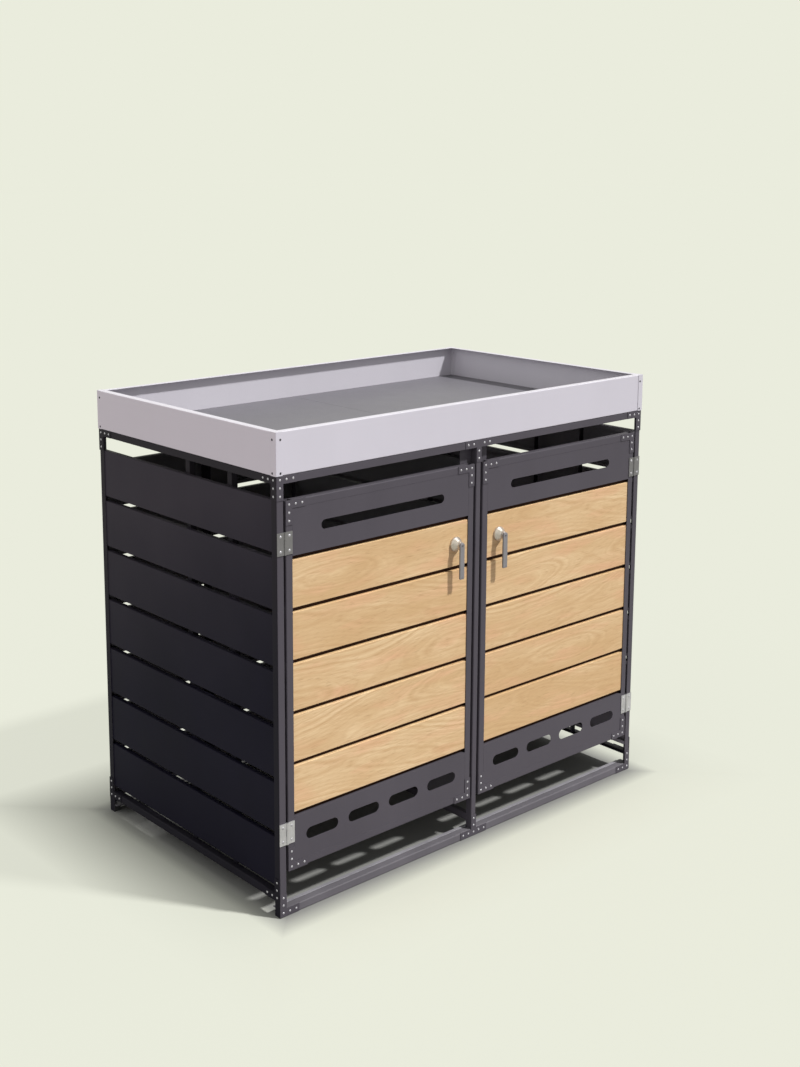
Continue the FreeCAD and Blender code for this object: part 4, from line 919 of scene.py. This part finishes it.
# %% [markdown]
# Then the outline follows the profile. A revolved curve could make the rose, but not the lever, whose
# outline isn't a circle. So the outline moves in along its own sideways normals, which does for both.

# %% Outlines with a profile
TURN_STEPS = 48


def faced(outline, sideways, profile):
    """An outline in X and Z carried along a profile: vertices, faces and normals, as a bar has.

    Vertex (i, j) is outline point j less inset i times its sideways normal, at the depth Y of profile
    point i. With d the profile's direction, the normal is -d.y sideways and -d.inset along Y. Both ends
    are closed by one flat face.
    """
    points, directions = profile
    outline, sideways = np.array(outline), np.array(sideways)
    rows, count = len(points), len(outline)
    flat = outline[None] - points[:, None, :1] * sideways[None]
    depth = np.broadcast_to(points[:, None, 1:], (rows, count, 1))
    vertices = np.concatenate([flat[..., :1], depth, flat[..., 1:]], axis=-1).reshape(-1, 3)
    outward = -directions[:, None, 1:] * sideways[None]
    forward = np.broadcast_to(-directions[:, None, :1], (rows, count, 1))
    normals = np.concatenate([outward[..., :1], forward, outward[..., 1:]], axis=-1).reshape(-1, 3)
    index = np.arange(rows * count).reshape(rows, count)
    ahead = np.roll(index, -1, axis=1)
    quads = np.stack([index[:-1], ahead[:-1], ahead[1:], index[1:]], axis=-1).reshape(-1, 4)
    back = np.tile([0.0, 1.0, 0.0], (count, 1))
    faces = quads.tolist() + [index[0][::-1].tolist(), index[-1].tolist()]
    return vertices, faces, np.vstack([normals[quads].reshape(-1, 3), back, -back])


def circle(centre, radius):
    """A circle in X and Z, with its sideways normals."""
    turn = np.linspace(0, 2 * math.pi, TURN_STEPS, endpoint=False)
    spoke = np.stack([np.cos(turn), np.sin(turn)], axis=1)
    return centre + radius * spoke, spoke


print("points on a circle:", len(circle(np.zeros(2), 1.0)[0]))

# %% [markdown]
# The lever's outline is a large arc over the spindle, two straight sides and two small corners. As
# arcs it is one sweep of angles, each with its own radius and middle, and the straight sides come by
# themselves where one arc ends and the next starts.

# %% The lever's outline
LEVER_HALF = 0.0080
LEVER_CORNER = 0.0024


def lever_outline(centre, foot):
    """The lever from the front: an arc over the spindle, and a small arc in each lower corner."""
    arcs = [np.linspace(0, math.pi, 25), np.linspace(math.pi, 1.5 * math.pi, 7),
            np.linspace(1.5 * math.pi, 2 * math.pi, 7)]
    counts = [len(arc) for arc in arcs]
    turn = np.concatenate(arcs)
    radius = np.repeat([LEVER_HALF, LEVER_CORNER, LEVER_CORNER], counts)[:, None]
    reach = LEVER_HALF - LEVER_CORNER
    middles = [centre, (centre[0] - reach, foot), (centre[0] + reach, foot)]
    spoke = np.stack([np.cos(turn), np.sin(turn)], axis=1)
    return np.repeat(middles, counts, axis=0) + radius * spoke, spoke


print("points on a lever's outline:", len(lever_outline(np.zeros(2), -1.0)[0]))

# %% [markdown]
# Now the locks themselves. The rose swells from the neck under the lever to a straight collar on the
# board. The screw's head stands a little proud of the lever, and the bottom of its socket, where no
# light gets to, is a small dark disc. Each profile ends in a ring, a little way in on the flat face
# that closes it, so that the face stays flat up to its eased edge.

# %% Locks
ROSE_NECK = 0.0090
ROSE_COLLAR = 0.0050
ROSE_SWELL = (0.0012, 0.0050)
ROSE_EASING = (0.0002, 0.0014, 0.0030, 0.0004)
LEVER_EASING = (0.0006, 0.0013)
SCREW_HIGH = 0.0008
SCREW_RADIUS = 0.0040
SCREW_EASING = (0.0005, 0.0002)
SOCKET_RADIUS = 0.0021
SOCKET_DEEP = 0.0004
SOCKET_EASING = (0.0001,)
REAR_RING = 0.0004
NECK_RING = 0.0020
LEVER_REAR_RING = 0.0020
LEVER_FRONT_RING = 0.0030
SOCKET_RING = 0.0005

for side in SIDES:
    rose = side + "_door_lock_rose"
    low, high = limits(rose)
    centre = np.array([low[0] + high[0], low[2] + high[2]]) / 2
    radius = (high[0] - low[0]) / 2
    inset = radius - ROSE_NECK
    swell = (inset - ROSE_SWELL[0], low[1] + ROSE_SWELL[1])
    path = [(REAR_RING, high[1]), (0.0, high[1]), (0.0, high[1] - ROSE_COLLAR), swell,
            (inset, low[1]), (inset + NECK_RING, low[1])]
    bars = [faced(*circle(centre, radius), eased(path, ROSE_EASING))]
    make_piece(rose + "_turned", bars, side + "_door", rose_metal_painted_reflection, [rose])

    lever = side + "_handle_lever"
    low, high = limits(lever)
    front = low[1] + SCREW_HIGH
    path = [(LEVER_REAR_RING, high[1]), (0.0, high[1]), (0.0, front), (LEVER_FRONT_RING, front)]
    bars = [faced(*lever_outline(centre, low[2] + LEVER_CORNER), eased(path, LEVER_EASING))]
    lip = SCREW_RADIUS - SOCKET_RADIUS
    path = [(0.0, front + PLAY), (0.0, low[1]), (lip, low[1]), (lip, front + PLAY)]
    bars.append(faced(*circle(centre, SCREW_RADIUS), eased(path, SCREW_EASING)))
    make_piece(lever + "_eased", bars, side + "_handle", lever_metal, [lever])
    path = [(0.0, front + PLAY), (0.0, low[1] + SOCKET_DEEP), (SOCKET_RING, low[1] + SOCKET_DEEP)]
    bars = [faced(*circle(centre, SOCKET_RADIUS), eased(path, SOCKET_EASING))]
    make_piece(lever + "_socket", bars, side + "_handle", dark_rivet, [])
    print(side, "lock at x", round(float(centre[0]), 4), "and z", round(float(centre[1]), 4))

# %% [markdown]
# What is flat or too small to have a fold keeps its measured shape: plates, rivets, hinges, slotted
# panels, the tray's floor, the feet and what is hidden inside. These nodes only need a finish, and the
# record already names one for each, so a table turns those names into the materials made above. Three
# nodes take another coat than their name says: the side gussets and the slats' cleats go with the deeper
# side walls, which is painted shade, the cleats with a pale inner side, which is painted light, and the
# tray's rivets are dark.

# %% Finish the nodes that keep their measured shape
KEEP = {
    "anthracite": anthracite,
    "tray_grey": tray_coat,
    "floor_grey": floor_coat,
    "zinc": zinc,
    "rivet_steel": rivet_metal,
    "lever_metal": rose_metal_painted_reflection,
    "oak": oak,
    "black_plastic": foot_plastic,
}
for row in frame["record"]["subparts"]:
    node = frame["nodes"][row["node"]]
    node.data.materials.clear()
    node.data.materials.append(KEEP[row["material_slot"]])
# Painted shade: the side gussets and the cleats take the deeper side coat.
for name in ("side_gussets", "slat_cleats"):
    frame["nodes"][name].data.materials[0] = side_painted_shade_and_light
# Painted light: the cleats' inner side is pale.
coat_facing(frame["nodes"]["slat_cleats"], pale_inner_painted_light, 0, outwards=False)
frame["nodes"]["tray_rivets"].data.materials[0] = dark_rivet

# %% [markdown]
# The light is that of a clear day: a bright sky all round, a small hard sun from the right and a broad
# fill from the left, as a pale wall would give. Each has a share, and the shares that fall on an
# upright front add up to about one, so a paint comes out about as bright as it is mixed.

# %% Sky, sun and fill
BACKDROP = (0.823, 0.839, 0.723)
SKY_SHARE = 0.48
SUN_SHARE = 1.12
FILL_SHARE = 0.14
TO_SUN = Vector((0.34, -0.50, 0.80)).normalized()
TO_FILL = Vector((-0.86, 0.10, 0.50)).normalized()
SUN_ANGLE = math.radians(4.0)
FILL_ANGLE = math.radians(70.0)


def seen_plainly(wiring):
    """1 for a ray from the camera, a mirror or glass, and 0 for the light that lands on things."""
    camera_ray, glossy_ray, through_ray = (
        wiring.node("ShaderNodeLightPath", output=name)
        for name in ("Is Camera Ray", "Is Glossy Ray", "Is Transmission Ray"))
    return camera_ray.larger(glossy_ray).larger(through_ray)


def lamp(name, direction, share, angle):
    """A sun lamp that gives its share of light to a surface that faces it."""
    data = bpy.data.lights.new(name, "SUN")
    data.energy = share * math.pi
    data.angle = angle
    made = bpy.data.objects.new(name, data)
    made.rotation_euler = direction.to_track_quat("Z", "Y").to_euler()
    bpy.context.scene.collection.objects.link(made)


lamp("sun", TO_SUN, SUN_SHARE, SUN_ANGLE)
lamp("fill", TO_FILL, FILL_SHARE, FILL_ANGLE)
bpy.context.scene.world = bpy.data.worlds.new("studio_sky")
bpy.context.scene.world.use_nodes = True
sky = Wiring(bpy.context.scene.world.node_tree)
lamp_sky = sky.node("ShaderNodeBackground", sockets={"Color": rgb(1.0, 1.0, 1.0), "Strength": SKY_SHARE})
shown_sky = sky.node("ShaderNodeBackground", sockets={"Color": rgb(*BACKDROP)})
sky_choice = sky.node("ShaderNodeMixShader", sockets={0: seen_plainly(sky), 1: lamp_sky, 2: shown_sky})
sky.feed(sky.tree.nodes["World Output"].inputs["Surface"], sky_choice)
light_on_floor = SKY_SHARE + SUN_SHARE * TO_SUN.z + FILL_SHARE * TO_FILL.z
print("light on an upright front:", round(SKY_SHARE / 2 - SUN_SHARE * TO_SUN.y, 3), "and on the floor:",
      round(light_on_floor, 3))

# %% [markdown]
# The stage is a wide pale floor, and the sky beyond it has the floor's own colour, so that no horizon
# shows. The floor isn't painted that colour outright: a fifth of what the camera sees is paint that is
# lit like everything else, so the store's shadow stays on it, and the rest is the backdrop's own glow,
# which keeps that shadow light. Towards the store the glow fades out and the paint turns grey, which is
# painted shade round and under the store. What the floor throws back up onto the store is another
# matter. A floor as pale as this one would wash the store's dark sheet out, so for that light it is a
# plain grey.

# %% Floor
FLOOR_HALF = 60.0
GLOW_SHARE = 0.8
GLOW_STARTS = 0.02
GLOW_FULL = 0.30
SHADED_EDGE = (-0.02, 0.05)
SHADED_GREY = (0.25, 0.25, 0.235)
GROUND_GREY = (0.285, 0.270, 0.295)

floor_mesh = bpy.data.meshes.new("floor")
floor_mesh.from_pydata([(-FLOOR_HALF, -FLOOR_HALF, 0), (FLOOR_HALF, -FLOOR_HALF, 0),
                        (FLOOR_HALF, FLOOR_HALF, 0), (-FLOOR_HALF, FLOOR_HALF, 0)], [], [(0, 1, 2, 3)])
floor = bpy.data.objects.new("floor", floor_mesh)
bpy.context.scene.collection.objects.link(floor)
ground = Finish("studio_floor")
paint = rgb(*(part / light_on_floor for part in BACKDROP))
spot = ground.place()
beside = ground.part(spot, "X").size() - float(measured_box[1][0])
before = ground.part(spot, "Y").size() - float(measured_box[1][1])
apart = beside.larger(before)
# Grey paint round and under the store: painted shade.
open_paint = ground.blend(ground.span(apart, *SHADED_EDGE), rgb(*SHADED_GREY), paint)
painted = ground.node("ShaderNodeBsdfDiffuse", sockets={"Color": open_paint})
glow = ground.node("ShaderNodeEmission", sockets={"Color": rgb(*BACKDROP)})
clear = ground.span(apart, GLOW_STARTS, GLOW_FULL, 0.0, GLOW_SHARE)
shown_floor = ground.node("ShaderNodeMixShader", sockets={0: clear, 1: painted, 2: glow})
grey_floor = ground.node("ShaderNodeBsdfDiffuse", sockets={"Color": rgb(*GROUND_GREY)})
floor_choice = ground.node("ShaderNodeMixShader", sockets={0: seen_plainly(ground), 1: grey_floor,
                                                           2: shown_floor})
ground.feed(ground.tree.nodes["Material Output"].inputs["Surface"], floor_choice)
floor_mesh.materials.append(ground.material)
bpy.context.scene.view_settings.view_transform = "Standard"
print("floor paint:", [round(part, 3) for part in paint[:3]])

# %% [markdown]
# The camera stands in front of the left corner, a little above the tray. Its place was found from the
# store's own corners: width, depth and height of a box seen in one picture fix the direction, the
# distance and the lens together. The small shift is only the framing of a picture that was cropped.

# %% Camera
LOOKS_DOWN = 9.88
LOOKS_RIGHT = 40.72
camera_data = bpy.data.cameras.new("camera")
camera_data.lens = 48.73
camera_data.shift_x = 0.0440
camera_data.shift_y = -0.1231
camera = bpy.data.objects.new("camera", camera_data)
camera.location = (-2.693, -3.004, 1.872)
camera.rotation_euler = (math.radians(90 - LOOKS_DOWN), 0.0, math.radians(-LOOKS_RIGHT))
bpy.context.scene.collection.objects.link(camera)
bpy.context.scene.camera = camera
print("camera at", tuple(camera.location))

# %% [markdown]
# Last, the box of the measured model is printed. The dressed one has to agree with it, because
# dressing a part must not change its size.

# %% Print the measured box
def plain_box(box):
    """A box as plain lists of numbers."""
    return [[float(part) for part in corner] for corner in box]


print("measured box:", plain_box(measured_box))
